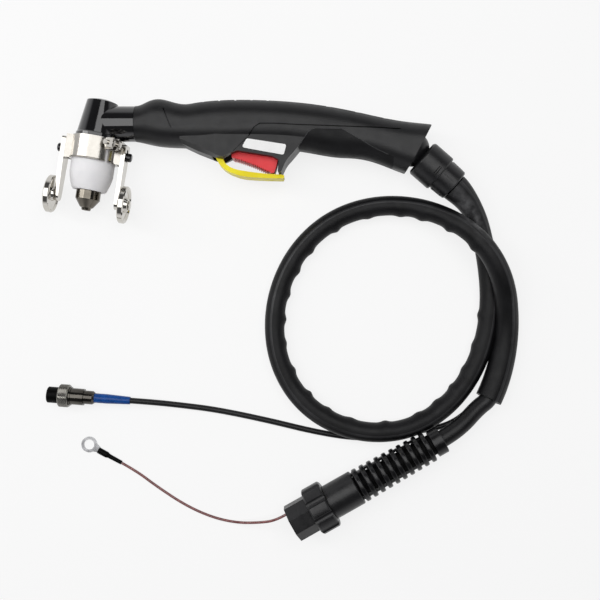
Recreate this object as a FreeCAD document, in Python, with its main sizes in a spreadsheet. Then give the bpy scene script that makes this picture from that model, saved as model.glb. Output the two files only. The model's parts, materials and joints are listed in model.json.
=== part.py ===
import FreeCAD, Part

# Hand plasma cutting torch with a roller guide, lying on its side, with its lead set:
# sheathed cable, machine connector with a ribbed strain relief, control plug and
# pilot-arc wire. Millimetres, +Z up, the torch's mid-plane is parallel to the table.
# X runs from the head to the tail of the handle, Y to the handle's back (thumb) side.

import math
import os
import sys

import Sketcher

V = FreeCAD.Vector
Z_AXIS = V(0, 0, 1)

SIZES = {
    # handle
    "handle_front": -93.9,
    "handle_half_width": 19.0,
    "neck_line": 30.5,
    "shell_wall": 3.4,
    "grip_depth": 2.0,
    "top_grip_half_width": 10.5,
    "top_grip_notch": 1.9,
    "notch_depth": 1.1,
    "notch_pitch": 12.8,
    "ramp_length": 8.0,
    "housing_half_width": 17.0,
    "housing_core_half_width": 10.5,
    "seam_width": 0.9,
    "seam_depth": 0.8,
    "boss_radius": 3.6,
    "screw_radius": 1.5,
    "screw_head_radius": 2.8,
    "screw_head_height": 2.0,
    "mouth_x": 131.0,
    "mouth_y": 10.2,
    "mouth_tilt": 28.5,
    # swivel
    "ball_radius": 14.0,
    "ball_depth": 4.3,
    "ball_play": 0.35,
    "ball_neck_radius": 9.5,
    "swivel_bend": 12.5,
    "collar_start": 10.2,
    "collar_radius": 15.5,
    "collar_length": 20.4,
    "sleeve_radius": 13.35,
    "sleeve_length": 14.4,
    "cable_radius": 8.2,
    "lead_radius": 7.0,
    # head, along its own axis from the crossing with the neck
    "head_x": -123.8,
    "head_tilt": 98.9,
    "neck_radius": 14.1,
    "neck_spigot_radius": 11.4,
    "neck_spigot_length": 17.0,
    "head_top_radius": 12.3,
    "head_top": 20.0,
    "head_base": 11.6,
    "head_base_radius": 17.0,
    "head_spigot_radius": 12.6,
    "head_spigot_end": 26.0,
    "core_radius": 8.2,
    "core_end": 28.0,
    "gas_tube_radius": 4.5,
    "gas_tube_bore": 3.2,
    "electrode_radius": 5.6,
    "electrode_thread_radius": 4.0,
    "electrode_end": 56.0,
    "emitter_radius": 0.9,
    "swirl_radius": 9.4,
    "swirl_bore": 6.2,
    "swirl_hole_radius": 0.8,
    "nozzle_seat": 42.0,
    "nozzle_flange": 4.0,
    "nozzle_flange_radius": 11.2,
    "nozzle_radius": 9.7,
    "nozzle_cone_start": 61.0,
    "nozzle_tip_radius": 3.5,
    "nozzle_tip": 70.0,
    "nozzle_wall": 2.4,
    "orifice_radius": 0.6,
    "cup_taper_start": 41.0,
    "cup_end": 54.0,
    "cup_mouth_radius": 13.7,
    "insert_wall": 2.2,
    "fit_play": 0.1,
    "running_play": 0.05,
    # roller guide
    "band_wall": 1.5,
    "band_width": 18.6,
    "band_gap": 0.4,
    "clamp_angle": 44.6,
    "clamp_gap": 3.0,
    "ear_reach": 30.4,
    "ear_width": 9.0,
    "clamp_screw_radius": 2.0,
    "clamp_screw_length": 11.5,
    "clamp_head_radius": 4.2,
    "clamp_head_height": 2.8,
    "bracket_half_height": 7.0,
    "bracket_reach": 22.3,
    "leg_thickness": 3.4,
    "leg_gap": 0.1,
    "leg_top": 14.0,
    "leg_half_width": 7.0,
    "leg_foot_half_width": 5.0,
    "leg_screw_at": 23.0,
    "leg_screw_radius": 2.0,
    "leg_screw_head_radius": 3.4,
    "leg_screw_head_height": 4.0,
    "slot_up": 2.0,
    "slot_down": 4.0,
    "slot_play": 0.3,
    "wheel_at": 60.8,
    "wheel_radius": 15.0,
    "wheel_thickness": 5.0,
    "wheel_hub_radius": 5.2,
    "wheel_standoff": 1.0,
    "axle_radius": 2.5,
    "axle_head_radius": 3.8,
    "axle_head_height": 1.3,
    # trigger and safety lever
    "trigger_half_width": 9.4,
    "lever_half_width": 8.8,
    "slot_side_play": 0.4,
    "trigger_pivot_x": -14.5,
    "trigger_pivot_y": 7.5,
    "trigger_hub_radius": 3.2,
    "trigger_teeth": 17,
    "trigger_tooth_depth": 0.9,
    "lever_pivot_x": -28.0,
    "lever_pivot_y": 6.4,
    "lever_hub_radius": 3.2,
    "pivot_pin_radius": 1.5,
    "switch_x": 2.0,
    "switch_y": 11.6,
    "switch_length": 20.0,
    "switch_height": 7.0,
    "switch_half_width": 5.0,
    "button_travel": 1.6,
    "button_radius": 1.4,
    "spring_x": 15.6,
    "spring_radius": 2.0,
    "spring_wire": 0.35,
    # connector, along its axis from the collar's end
    "connector_x": 155.2,
    "connector_y": -218.6,
    "connector_angle": 209.5,
    "collar_end_radius": 11.25,
    "collar_end_length": 11.0,
    "boot_core_radius": 9.8,
    "boot_bore": 7.3,
    "rib_count": 10,
    "rib_pitch": 6.6,
    "rib_width": 3.1,
    "rib_first_radius": 12.6,
    "rib_last_radius": 14.0,
    "web_half_width": 2.6,
    "web_inset": 1.3,
    "body_start": 79.0,
    "body_radius": 14.1,
    "body_length": 29.6,
    "nut_radius": 19.5,
    "nut_length": 16.4,
    "nut_gap": 0.2,
    "nut_lobes": 9,
    "lobe_radius": 3.6,
    "spigot_radius": 12.5,
    "shell_flats": 28.4,
    "shell_length": 17.6,
    "power_nut_radius": 10.6,
    "power_nut_bore": 7.25,
    "power_nut_length": 14.0,
    # control plug, along its axis from its front
    "plug_x": -167.8,
    "plug_y": -186.9,
    "plug_angle": -4.3,
    "plug_front_radius": 6.5,
    "plug_front_length": 9.3,
    "ring_radius": 9.2,
    "ring_length": 8.6,
    "plug_shell_radius": 6.7,
    "plug_shell_length": 11.6,
    "plug_clamp_radius": 5.5,
    "plug_clamp_length": 8.5,
    "plug_sleeve_radius": 3.85,
    "plug_sleeve_end_radius": 3.05,
    "plug_sleeve_length": 28.9,
    "control_radius": 2.4,
    "pin_radius": 1.2,
    "pin_spacing": 6.0,
    # pilot wire and its ring terminal
    "terminal_x": -136.5,
    "terminal_y": -229.0,
    "terminal_angle": -28.5,
    "terminal_radius": 6.45,
    "terminal_hole": 4.2,
    "terminal_thickness": 1.0,
    "terminal_axis_height": 2.6,
    "shrink_start": 9.0,
    "shrink_radius": 2.5,
    "shrink_end_radius": 1.8,
    "shrink_length": 21.7,
    "wire_radius": 1.1,
}

# Stations of the handle: distance from the front face, height of the back above the
# neck line, depth of the belly below it, narrowing from the widest place, and the
# corner radius as a part of the smaller half size.
STATIONS = [
    (0.0, 14.1, 14.1, 4.9, 0.97),
    (7.2, 16.3, 15.5, 4.0, 0.94),
    (14.4, 18.9, 17.0, 2.8, 0.9),
    (32.0, 16.1, 18.6, 2.2, 0.86),
    (54.0, 16.9, 19.5, 0.9, 0.84),
    (94.0, 18.1, 19.0, 0.0, 0.82),
    (129.0, 16.2, 21.0, 0.0, 0.84),
    (154.0, 13.1, 25.4, 0.9, 0.86),
    (179.0, 8.2, 27.6, 1.4, 0.86),
    (199.0, 3.8, 33.3, 0.9, 0.86),
    (214.0, 1.2, 39.0, 0.4, 0.84),
    (246.0, -3.0, 48.0, 0.4, 0.84),
]
CAVITY_STATIONS = (2, 9)

# The cables' routes: points of the centre line, joined by straight runs and arcs.
SHEATH_ROUTE = [
    (160.0, -20.1, 19.0), (175.0, -33.2, 18.5), (188.0, -70.0, 8.3), (190.6, -116.0, 8.3),
    (181.0, -158.5, 8.3), (157.7, -193.2, 8.3), (123.0, -213.6, 8.3), (81.0, -214.5, 8.3),
    (42.6, -195.7, 8.3), (19.0, -161.3, 8.3), (14.9, -118.1, 8.3), (29.4, -76.9, 8.3),
    (58.5, -46.6, 8.3), (97.2, -32.6, 8.3), (139.0, -36.0, 14.0), (175.3, -56.6, 27.5),
    (198.9, -90.2, 26.5), (206.6, -131.4, 9.5), (199.1, -173.2, 8.9), (189.5, -190.2, 12.5),
]
LEAD_ROUTE = [(189.5, -190.2, 13.8), (180.0, -196.8, 14.8), (167.0, -210.0, 18.6), (155.2, -218.6, 19.5)]
CONTROL_ROUTE = [
    (188.9, -189.9, 4.2), (178.0, -198.5, 2.6), (160.0, -212.5, 2.5), (137.0, -217.0, 2.5),
    (113.0, -223.5, 2.5), (83.0, -224.5, 2.5), (50.0, -218.5, 2.5), (10.0, -208.7, 2.5),
    (-32.0, -200.0, 2.5), (-64.0, -196.0, 2.9), (-85.0, -193.1, 8.6), (-101.3, -191.9, 9.2),
]
PILOT_ROUTE = [
    (30.1, -279.0, 19.5), (18.8, -286.6, 19.2), (2.0, -290.5, 12.0), (-16.0, -292.8, 2.4),
    (-36.0, -288.5, 1.3), (-58.0, -278.5, 1.3), (-82.0, -262.5, 1.3), (-97.0, -251.0, 1.7),
    (-109.4, -243.8, 2.6),
]

doc = FreeCAD.newDocument("plasma_torch")
sheet = doc.addObject("Spreadsheet::Sheet", "Sizes")
for row, (alias, number) in enumerate(SIZES.items(), start=1):
    sheet.set("A%d" % row, alias)
    sheet.set("B%d" % row, repr(number))
    sheet.setAlias("B%d" % row, alias)
doc.recompute()


class Size:
    """A length that keeps the sheet formula it came from."""

    def __init__(self, value, text):
        self.value = value
        self.text = text

    def joined(self, other, sign, value):
        return Size(value, "(" + self.text + sign + other.text + ")")

    def __add__(self, other):
        other = as_size(other)
        return self.joined(other, " + ", self.value + other.value)

    def __sub__(self, other):
        other = as_size(other)
        return self.joined(other, " - ", self.value - other.value)

    def __mul__(self, other):
        other = as_size(other)
        return self.joined(other, " * ", self.value * other.value)

    def __truediv__(self, other):
        other = as_size(other)
        return self.joined(other, " / ", self.value / other.value)

    def __radd__(self, other):
        return as_size(other) + self

    def __rsub__(self, other):
        return as_size(other) - self

    def __rmul__(self, other):
        return as_size(other) * self

    def __neg__(self):
        return Size(-self.value, "(-" + self.text + ")")


def as_size(number):
    if isinstance(number, Size):
        return number
    return Size(float(number), "(%r)" % float(number) if number < 0 else repr(float(number)))


class Cells:
    """Reads a driving size from the sheet by its alias."""

    def __getattr__(self, alias):
        return Size(float(sheet.get(alias)), "Sizes." + alias)


S = Cells()
CUP_RADIUS = S.head_base_radius + 0.1
ROLES = {"XY": "XY_Plane", "XZ": "XZ_Plane", "YZ": "YZ_Plane"}
exports = {}


# ---------------------------------------------------------------- sketches and features

def set_size(item, path, number):
    """Binds one property of a feature to a sheet formula."""
    item.setExpression(path, as_size(number).text)


def keep(name, item):
    """Marks an object as a sub-part: its label names its file."""
    item.Label = name
    exports[name] = item
    return item


def new_body(name, place=None):
    body = doc.addObject("PartDesign::Body", name + "_body")
    if place is not None:
        body.Placement = place
    return body


def new_sketch(body, plane="XY", offset=None):
    """A sketch on one of the body's own origin planes, lifted by offset."""
    sketch = body.newObject("Sketcher::SketchObject", body.Name + "_sketch")
    origin_plane = [f for f in body.Origin.OriginFeatures if f.Role == ROLES[plane]][0]
    sketch.AttachmentSupport = [(origin_plane, "")]
    sketch.MapMode = "FlatFace"
    if offset is not None:
        set_size(sketch, "AttachmentOffset.Base.z", offset)
    return sketch


def arc_middle(start, end, radius, side):
    """The middle of an arc from start to end that bulges to the left (side 1) or right."""
    chord = end - start
    half = chord.Length / 2
    radius = max(radius, half * 1.0001)
    sagitta = radius - math.sqrt(radius * radius - half * half)
    normal = V(-chord.y, chord.x, 0).normalize()
    return (start + end) * 0.5 + normal * (sagitta * side)


def outline(sketch, points):
    """Draws a closed outline whose corners are bound to the sheet. A corner (x, y, radius,
    side) is reached by an arc from the corner before it."""
    base = sketch.GeometryCount
    points = [tuple(as_size(c) for c in p[:3]) + tuple(p[3:]) for p in points]
    ends = []
    for i, begin in enumerate(points):
        finish = points[(i + 1) % len(points)]
        start, end = V(begin[0].value, begin[1].value, 0), V(finish[0].value, finish[1].value, 0)
        if len(finish) == 4:
            middle = arc_middle(start, end, finish[2].value, finish[3])
            sketch.addGeometry(Part.Arc(start, middle, end), False)
            ends.append((1, 2) if finish[3] < 0 else (2, 1))
        else:
            sketch.addGeometry(Part.LineSegment(start, end), False)
            ends.append((1, 2))
    for i, begin in enumerate(points):
        follower = (i + 1) % len(points)
        sketch.addConstraint(
            Sketcher.Constraint("Coincident", base + i, ends[i][1], base + follower, ends[follower][0])
        )
        for kind, size in (("DistanceX", begin[0]), ("DistanceY", begin[1])):
            number = sketch.addConstraint(
                Sketcher.Constraint(kind, -1, 1, base + i, ends[i][0], size.value)
            )
            set_size(sketch, "Constraints[%d]" % number, size)
        finish = points[follower]
        if len(finish) == 4:
            number = sketch.addConstraint(Sketcher.Constraint("Radius", base + i, finish[2].value))
            set_size(sketch, "Constraints[%d]" % number, finish[2])


def circle(sketch, x, y, radius):
    x, y, radius = as_size(x), as_size(y), as_size(radius)
    index = sketch.addGeometry(Part.Circle(V(x.value, y.value, 0), Z_AXIS, radius.value), False)
    for kind, size in (("DistanceX", x), ("DistanceY", y)):
        number = sketch.addConstraint(Sketcher.Constraint(kind, -1, 1, index, 3, size.value))
        set_size(sketch, "Constraints[%d]" % number, size)
    number = sketch.addConstraint(Sketcher.Constraint("Radius", index, radius.value))
    set_size(sketch, "Constraints[%d]" % number, radius)


def revolve(body, points, cut=False):
    """Turns a profile (distance along the axis, radius) round the body's X axis."""
    sketch = new_sketch(body)
    outline(sketch, points)
    kind = "PartDesign::Groove" if cut else "PartDesign::Revolution"
    feature = body.newObject(kind, body.Name + "_turned")
    feature.Profile = sketch
    feature.ReferenceAxis = (sketch, ["H_Axis"])
    feature.Angle = 360
    return feature


def extrude(body, length, outlines=(), circles=(), plane="XY", offset=None, cut=False, both=True, back=False):
    """Pads or pockets outlines and circles, on both sides of their plane or on one."""
    sketch = new_sketch(body, plane, offset)
    for points in outlines:
        outline(sketch, points)
    for x, y, radius in circles:
        circle(sketch, x, y, radius)
    feature = body.newObject("PartDesign::Pocket" if cut else "PartDesign::Pad", body.Name + "_cut" if cut else body.Name + "_pad")
    feature.Profile = sketch
    feature.SideType = "Symmetric" if both else "One side"
    feature.Reversed = back
    set_size(feature, "Length", length)
    return feature


def turned(name, points, place):
    """A whole sub-part made by one revolution."""
    body = new_body(name, place)
    revolve(body, points)
    return keep(name, body)


def polar(body, feature, count):
    """Repeats a feature round the body's X axis and makes the result the body's tip."""
    pattern = body.newObject("PartDesign::PolarPattern", body.Name + "_pattern")
    pattern.Originals = [feature]
    axis = [f for f in body.Origin.OriginFeatures if f.Role == "X_Axis"][0]
    pattern.Axis = (axis, [""])
    pattern.Angle = 360
    set_size(pattern, "Occurrences", count)
    body.Tip = pattern
    return pattern


def boolean(kind, name, base, tools):
    """Cuts each tool from base, or keeps what base shares with them."""
    item = base
    for i, tool in enumerate(tools):
        step = doc.addObject("Part::" + kind, "%s_%d" % (name, i))
        step.Base = item
        step.Tool = tool
        item = step
    return item


def fuse(name, items):
    joined = doc.addObject("Part::MultiFuse", name)
    joined.Shapes = items
    return joined


def frame_at(x, y, z, turn):
    """A placement whose X axis is turned about the vertical."""
    return FreeCAD.Placement(V(x, y, z), FreeCAD.Rotation(Z_AXIS, turn))


# ---------------------------------------------------------------- frames

MID = S.handle_half_width.value
MID_PLACE = frame_at(0, 0, MID, 0)
HEAD_PLACE = frame_at(S.head_x.value, S.neck_line.value, MID, -S.head_tilt.value)
FLIP = FreeCAD.Placement(V(0, 0, 0), FreeCAD.Rotation(V(1, 0, 0), 180))
SIDES = {"right": HEAD_PLACE, "left": HEAD_PLACE.multiply(FLIP)}
MOUTH_PLACE = frame_at(S.mouth_x.value, S.mouth_y.value, MID, -S.mouth_tilt.value)
BALL_CENTRE = MOUTH_PLACE.multVec(V(-S.ball_depth.value, -1.9, 0))
SWIVEL_PLACE = frame_at(BALL_CENTRE.x, BALL_CENTRE.y, MID, -S.mouth_tilt.value - S.swivel_bend.value)
CONNECTOR_PLACE = frame_at(
    S.connector_x.value, S.connector_y.value, S.nut_radius.value, S.connector_angle.value
)
PLUG_PLACE = frame_at(S.plug_x.value, S.plug_y.value, S.ring_radius.value, S.plug_angle.value)
SWIVEL_STRAIGHT = frame_at(BALL_CENTRE.x, BALL_CENTRE.y, MID, 20.0 - S.mouth_tilt.value)
TERMINAL_PLACE = frame_at(
    S.terminal_x.value, S.terminal_y.value, S.terminal_axis_height.value, S.terminal_angle.value
)


# ---------------------------------------------------------------- torch head

def head_body():
    body = new_body("head", HEAD_PLACE)
    top, base = -S.head_top, S.head_base
    revolve(body, [
        (top, 0), (top + 2.6, S.head_top_radius, 30.0, 1), (base - 3.0, S.head_base_radius - 0.7),
        (base - 2.2, S.head_base_radius), (base, S.head_base_radius), (base, S.head_spigot_radius),
        (S.head_spigot_end, S.head_spigot_radius), (S.head_spigot_end, S.core_radius + S.fit_play),
        (-S.core_radius - 3.8, S.core_radius + S.fit_play), (-S.core_radius - 3.8, 0),
    ])
    neck = new_body("neck", frame_at(S.head_x.value, S.neck_line.value, MID, 0))
    face = S.handle_front - S.head_x
    revolve(neck, [
        (0, S.gas_tube_radius + S.fit_play), (face - 0.3, S.gas_tube_radius + S.fit_play),
        (face + S.neck_spigot_length, S.gas_tube_radius + S.fit_play),
        (face + S.neck_spigot_length, S.neck_spigot_radius), (face - 0.3, S.neck_spigot_radius),
        (face - 0.3, S.neck_radius), (0, S.neck_radius),
    ])
    bore = doc.addObject("Part::Cylinder", "head_bore")
    set_size(bore, "Radius", S.core_radius + S.fit_play)
    set_size(bore, "Height", S.head_spigot_end + S.core_radius + 3.8)
    bore.Placement = HEAD_PLACE.multiply(
        FreeCAD.Placement(V(-S.core_radius.value - 3.8, 0, 0), FreeCAD.Rotation(V(0, 1, 0), 90))
    )
    tube_way = doc.addObject("Part::Cylinder", "tube_way")
    set_size(tube_way, "Radius", S.gas_tube_radius + S.fit_play)
    set_size(tube_way, "Height", S.neck_radius + 5.0)
    tube_way.Placement = FreeCAD.Placement(
        V(S.head_x.value, S.neck_line.value, MID), FreeCAD.Rotation(V(0, 1, 0), 90)
    )
    cup_room = new_body("cup_room", HEAD_PLACE)
    revolve(cup_room, [
        (base, S.head_spigot_radius), (base, S.head_base_radius + 3), (base + 20, S.head_base_radius + 3),
        (base + 20, S.head_spigot_radius),
    ])
    whole = fuse("head_and_neck", [body, neck])
    return keep("head_body", boolean("Cut", "head_cut", whole, [bore, tube_way, cup_room]))


def torch_core():
    end, bore = S.core_end, S.electrode_thread_radius
    return turned("torch_core", [
        (-S.core_radius - 3.6, 0), (-S.core_radius - 3.6, S.core_radius), (end, S.core_radius),
        (end, bore), (end - 15.0, bore), (end - 15.0, 1.8), (0, 1.8), (0, 0),
    ], HEAD_PLACE)


def gas_tube():
    """From the core's side wall through the neck to the lead coupling."""
    start = S.core_radius + 1.5
    end = S.handle_front - S.head_x + S.neck_spigot_length + 24.0
    return turned("gas_tube", [
        (start, S.gas_tube_bore), (start, S.gas_tube_radius), (end, S.gas_tube_radius),
        (end, S.gas_tube_bore),
    ], frame_at(S.head_x.value, S.neck_line.value, MID, 0))


def consumables():
    end = S.electrode_end
    turned("electrode", [
        (S.core_end - 12.0, 0), (S.core_end - 12.0, S.electrode_thread_radius),
        (S.core_end, S.electrode_thread_radius), (S.core_end, S.electrode_radius),
        (end - 4.0, S.electrode_radius), (end, 2.6, 5.0, 1), (end, S.emitter_radius),
        (end - 3.0, S.emitter_radius), (end - 3.0, 0),
    ], HEAD_PLACE)
    turned("electrode_emitter", [
        (end - 3.0, 0), (end - 3.0, S.emitter_radius), (end - 0.1, S.emitter_radius), (end - 0.1, 0),
    ], HEAD_PLACE)

    ring = new_body("swirl_ring", HEAD_PLACE)
    revolve(ring, [
        (S.core_end + 0.1, S.swirl_bore), (S.core_end + 0.1, S.swirl_radius),
        (S.nozzle_seat - 0.1, S.swirl_radius), (S.nozzle_seat - 0.1, S.swirl_bore),
    ])
    hole = extrude(
        ring, S.swirl_radius + 2.0, circles=[(S.nozzle_seat - 5.0, 2.6, S.swirl_hole_radius)],
        cut=True, both=False, back=True,
    )
    polar(ring, hole, 6)
    keep("swirl_ring", ring)

    seat, cone, tip = S.nozzle_seat, S.nozzle_cone_start, S.nozzle_tip
    inner = S.nozzle_radius - S.nozzle_wall
    turned("nozzle", [
        (seat, inner), (seat, S.nozzle_flange_radius), (seat + S.nozzle_flange, S.nozzle_flange_radius),
        (seat + S.nozzle_flange, S.nozzle_radius), (cone, S.nozzle_radius),
        (tip - 2.6, S.nozzle_tip_radius + 1.7), (tip - 2.0, S.nozzle_tip_radius + 0.4),
        (tip - 0.4, S.nozzle_tip_radius), (tip, S.nozzle_tip_radius - 0.5), (tip, S.orifice_radius + 0.8),
        (tip - 1.2, S.orifice_radius), (tip - 6.0, S.orifice_radius), (cone - 3.0, inner),
    ], HEAD_PLACE)


def shield_cup():
    base, end, mouth = S.head_base + 0.1, S.cup_end, S.cup_mouth_radius
    liner = S.head_spigot_radius + S.fit_play + S.insert_wall
    turned("shield_cup", [
        (base, liner), (base, CUP_RADIUS), (S.cup_taper_start, CUP_RADIUS),
        (end - 1.0, mouth, 52.0, 1), (end, mouth - 0.8), (end, S.nozzle_radius + 0.3),
        (S.nozzle_seat + S.nozzle_flange + 0.1, S.nozzle_radius + 0.3),
        (S.nozzle_seat + S.nozzle_flange + 0.1, S.nozzle_flange_radius + 0.2),
        (S.head_spigot_end + 5.0, S.nozzle_flange_radius + 0.2), (S.head_spigot_end + 5.0, liner),
    ], HEAD_PLACE)
    turned("cup_insert", [
        (base, S.head_spigot_radius + S.fit_play), (base, liner - S.running_play),
        (S.head_spigot_end + 4.9, liner - S.running_play),
        (S.head_spigot_end + 4.9, S.nozzle_flange_radius + 0.2),
        (S.head_spigot_end + 3.0, S.nozzle_flange_radius + 0.2),
        (S.head_spigot_end + 3.0, S.head_spigot_radius + S.fit_play),
    ], HEAD_PLACE)
    o_ring = doc.addObject("Part::Torus", "o_ring")
    set_size(o_ring, "Radius1", S.core_radius + 1.6)
    set_size(o_ring, "Radius2", 0.8)
    o_ring.Placement = HEAD_PLACE.multiply(FreeCAD.Placement(
        V(S.head_spigot_end.value + 0.85, 0, 0), FreeCAD.Rotation(V(0, 1, 0), 90)
    ))
    keep("head_o_ring", o_ring)


# ---------------------------------------------------------------- roller guide

BAND_START = S.head_base + S.band_gap
BAND_RADIUS = CUP_RADIUS + S.running_play + S.band_wall
SCREW_REACH = S.ear_reach - 4.4


def guide_band():
    """A split band on the cup with two clamp ears and a channel bracket on each side."""
    band_end = BAND_START + S.band_width
    ring = new_body("band_ring", HEAD_PLACE)
    revolve(ring, [(BAND_START, 0), (BAND_START, BAND_RADIUS), (band_end, BAND_RADIUS), (band_end, 0)])
    extrude(ring, 2 * S.bracket_half_height, outlines=[[
        (BAND_START, -S.bracket_reach), (band_end, -S.bracket_reach),
        (band_end, S.bracket_reach), (BAND_START, S.bracket_reach),
    ]])
    inner = S.bracket_reach - S.band_wall
    extrude(ring, 2 * (S.bracket_half_height - S.band_wall), cut=True, outlines=[
        [(BAND_START - 1, -inner), (band_end + 1, -inner), (band_end + 1, inner), (BAND_START - 1, inner)],
    ])
    revolve(ring, [(BAND_START, BAND_RADIUS - 2.2), (BAND_START, BAND_RADIUS), (band_end - 1.4, BAND_RADIUS),
                   (band_end - 0.9, BAND_RADIUS + 0.5), (band_end, BAND_RADIUS + 0.5, 0.6, 1),
                   (band_end, BAND_RADIUS - 2.2)])
    extrude(ring, 4 * S.bracket_reach, cut=True, plane="XZ",
            circles=[(S.leg_screw_at, 0, S.leg_screw_radius)])

    ears = new_body("band_ears", HEAD_PLACE.multiply(
        FreeCAD.Placement(V(0, 0, 0), FreeCAD.Rotation(V(1, 0, 0), S.clamp_angle.value))
    ))
    ear_end = BAND_START + S.ear_width
    extrude(ears, S.clamp_gap + 2 * S.band_wall, outlines=[[
        (BAND_START + 0.2, BAND_RADIUS - 1.0), (ear_end, BAND_RADIUS - 1.0), (ear_end, S.ear_reach - 2.5),
        (ear_end - 2.5, S.ear_reach, 2.5, 1), (BAND_START + 2.7, S.ear_reach),
        (BAND_START + 0.2, S.ear_reach - 2.5, 2.5, 1),
    ]])
    extrude(ears, 40.0, cut=True, circles=[(BAND_START + S.ear_width / 2, SCREW_REACH, S.clamp_screw_radius)])
    split = new_body("band_split", ears.Placement)
    extrude(split, S.clamp_gap, outlines=[[
        (BAND_START - 1, 5.0), (band_end + 1, 5.0), (band_end + 1, S.ear_reach + 1),
        (BAND_START - 1, S.ear_reach + 1),
    ]])
    bore = new_body("band_bore", HEAD_PLACE)
    radius = CUP_RADIUS + S.running_play
    revolve(bore, [(BAND_START - 2, 0), (BAND_START - 2, radius), (band_end + 2, radius), (band_end + 2, 0)])
    return keep("guide_band", boolean("Cut", "band_cut", fuse("band_whole", [ring, ears]), [split, bore]))


def clamp_fasteners():
    place = HEAD_PLACE.multiply(
        FreeCAD.Placement(V(0, 0, 0), FreeCAD.Rotation(V(1, 0, 0), S.clamp_angle.value))
    ).multiply(FreeCAD.Placement(
        V((BAND_START + S.ear_width / 2).value, SCREW_REACH.value, 0), FreeCAD.Rotation(V(0, 1, 0), -90)
    ))
    grip = S.clamp_gap / 2 + S.band_wall
    screw = new_body("clamp_screw", place)
    revolve(screw, [
        (-grip - S.clamp_head_height, 0),
        (-grip - S.clamp_head_height + 1.2, S.clamp_head_radius, S.clamp_head_radius * 1.6, 1),
        (-grip, S.clamp_head_radius), (-grip, S.clamp_screw_radius),
        (-grip + S.clamp_screw_length, S.clamp_screw_radius), (-grip + S.clamp_screw_length, 0),
    ])
    extrude(screw, 1.4, cut=True, both=False, plane="YZ", offset=-grip - S.clamp_head_height, outlines=[
        [(-0.5, -3.2), (0.5, -3.2), (0.5, 3.2), (-0.5, 3.2)],
    ], back=True)
    keep("clamp_screw", screw)
    nut = new_body("clamp_nut", place)
    side = S.clamp_head_radius
    corners = [
        (side * math.cos(math.radians(a)), side * math.sin(math.radians(a))) for a in range(0, 360, 60)
    ]
    extrude(nut, 3.2, outlines=[corners], circles=[(0, 0, S.clamp_screw_radius)], plane="YZ",
            offset=grip, both=False)
    keep("clamp_nut", nut)


def leg_screw(name, place):
    """Runs through bracket and leg slot, along the body's own Y axis."""
    body = new_body(name, place.multiply(FreeCAD.Placement(
        V(S.leg_screw_at.value, 0, 0), FreeCAD.Rotation(Z_AXIS, 90)
    )))
    seat = S.bracket_reach + S.leg_gap + S.leg_thickness + S.leg_gap
    revolve(body, [
        (S.bracket_reach - S.band_wall - 1.2, 0), (S.bracket_reach - S.band_wall - 1.2, S.leg_screw_radius),
        (seat, S.leg_screw_radius), (seat, S.leg_screw_head_radius),
        (seat + S.leg_screw_head_height - 1.0, S.leg_screw_head_radius),
        (seat + S.leg_screw_head_height, S.leg_screw_head_radius - 1.2, 1.6, 1),
        (seat + S.leg_screw_head_height, 0),
    ])
    return body


def leg(side):
    """A slotted plate that tapers to a round foot; the wheel's axle is pressed into it."""
    body = new_body("leg_" + side, SIDES[side])
    top, wide, foot, end = S.leg_top, S.leg_half_width, S.leg_foot_half_width, S.wheel_at
    seat = -(S.bracket_reach + S.leg_gap)
    extrude(body, S.leg_thickness, both=False, plane="XZ", offset=seat, back=True, outlines=[
        [(top, -wide + 2), (top + 2, -wide, 2.0, -1), (top + 20, -wide), (end, -foot),
         (end + foot, 0, foot, -1), (end, foot, foot, -1), (top + 20, wide), (top + 2, wide),
         (top, wide - 2, 2.0, -1)],
        slot_outline(),
    ])
    return keep("leg_" + side, body)


def slot_outline():
    half = S.leg_screw_radius + S.slot_play
    first, last = S.leg_screw_at - S.slot_down, S.leg_screw_at + S.slot_up
    return [(first, -half, half, -1), (last, -half), (last + half, 0, half, -1), (last, half, half, -1),
            (first, half), (first - half, 0, half, -1)]


def axle(side):
    place = SIDES[side].multiply(FreeCAD.Placement(
        V(S.wheel_at.value, 0, 0), FreeCAD.Rotation(Z_AXIS, 90)
    ))
    leg_out = S.bracket_reach + S.leg_gap + S.leg_thickness
    end = leg_out + S.wheel_standoff + S.wheel_thickness + 1.4
    return turned("axle_" + side, [
        (leg_out + 0.05, 0), (leg_out + 0.05, S.axle_radius + 1.2), (leg_out + 0.6, S.axle_radius + 1.2),
        (leg_out + 0.6, S.axle_radius), (end, S.axle_radius), (end, S.axle_head_radius),
        (end + S.axle_head_height - 0.5, S.axle_head_radius),
        (end + S.axle_head_height, S.axle_head_radius - 0.8, 1.2, 1), (end + S.axle_head_height, 0),
    ], place)


def wheel(side):
    place = SIDES[side].multiply(FreeCAD.Placement(
        V(S.wheel_at.value, 0, 0), FreeCAD.Rotation(Z_AXIS, 90)
    ))
    start = S.bracket_reach + S.leg_gap + S.leg_thickness + S.wheel_standoff
    end = start + S.wheel_thickness
    bore, rim, hub = S.axle_radius + S.running_play, S.wheel_radius, S.wheel_hub_radius
    return turned("wheel_" + side, [
        (start - 0.3, bore), (start - 0.3, hub), (start + 1.2, hub + 0.6), (start + 1.2, rim - 2.6),
        (start + 0.3, rim - 1.6), (start + 0.3, rim - 0.6), (start + 1.0, rim), (end - 0.7, rim),
        (end, rim - 0.7), (end, rim - 1.8), (end - 1.5, rim - 3.4), (end - 2.0, hub + 1.0, 14.0, 1),
        (end + 0.8, hub), (end + 1.2, hub - 0.6), (end + 1.2, bore),
    ], place)


# ---------------------------------------------------------------- handle

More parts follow.
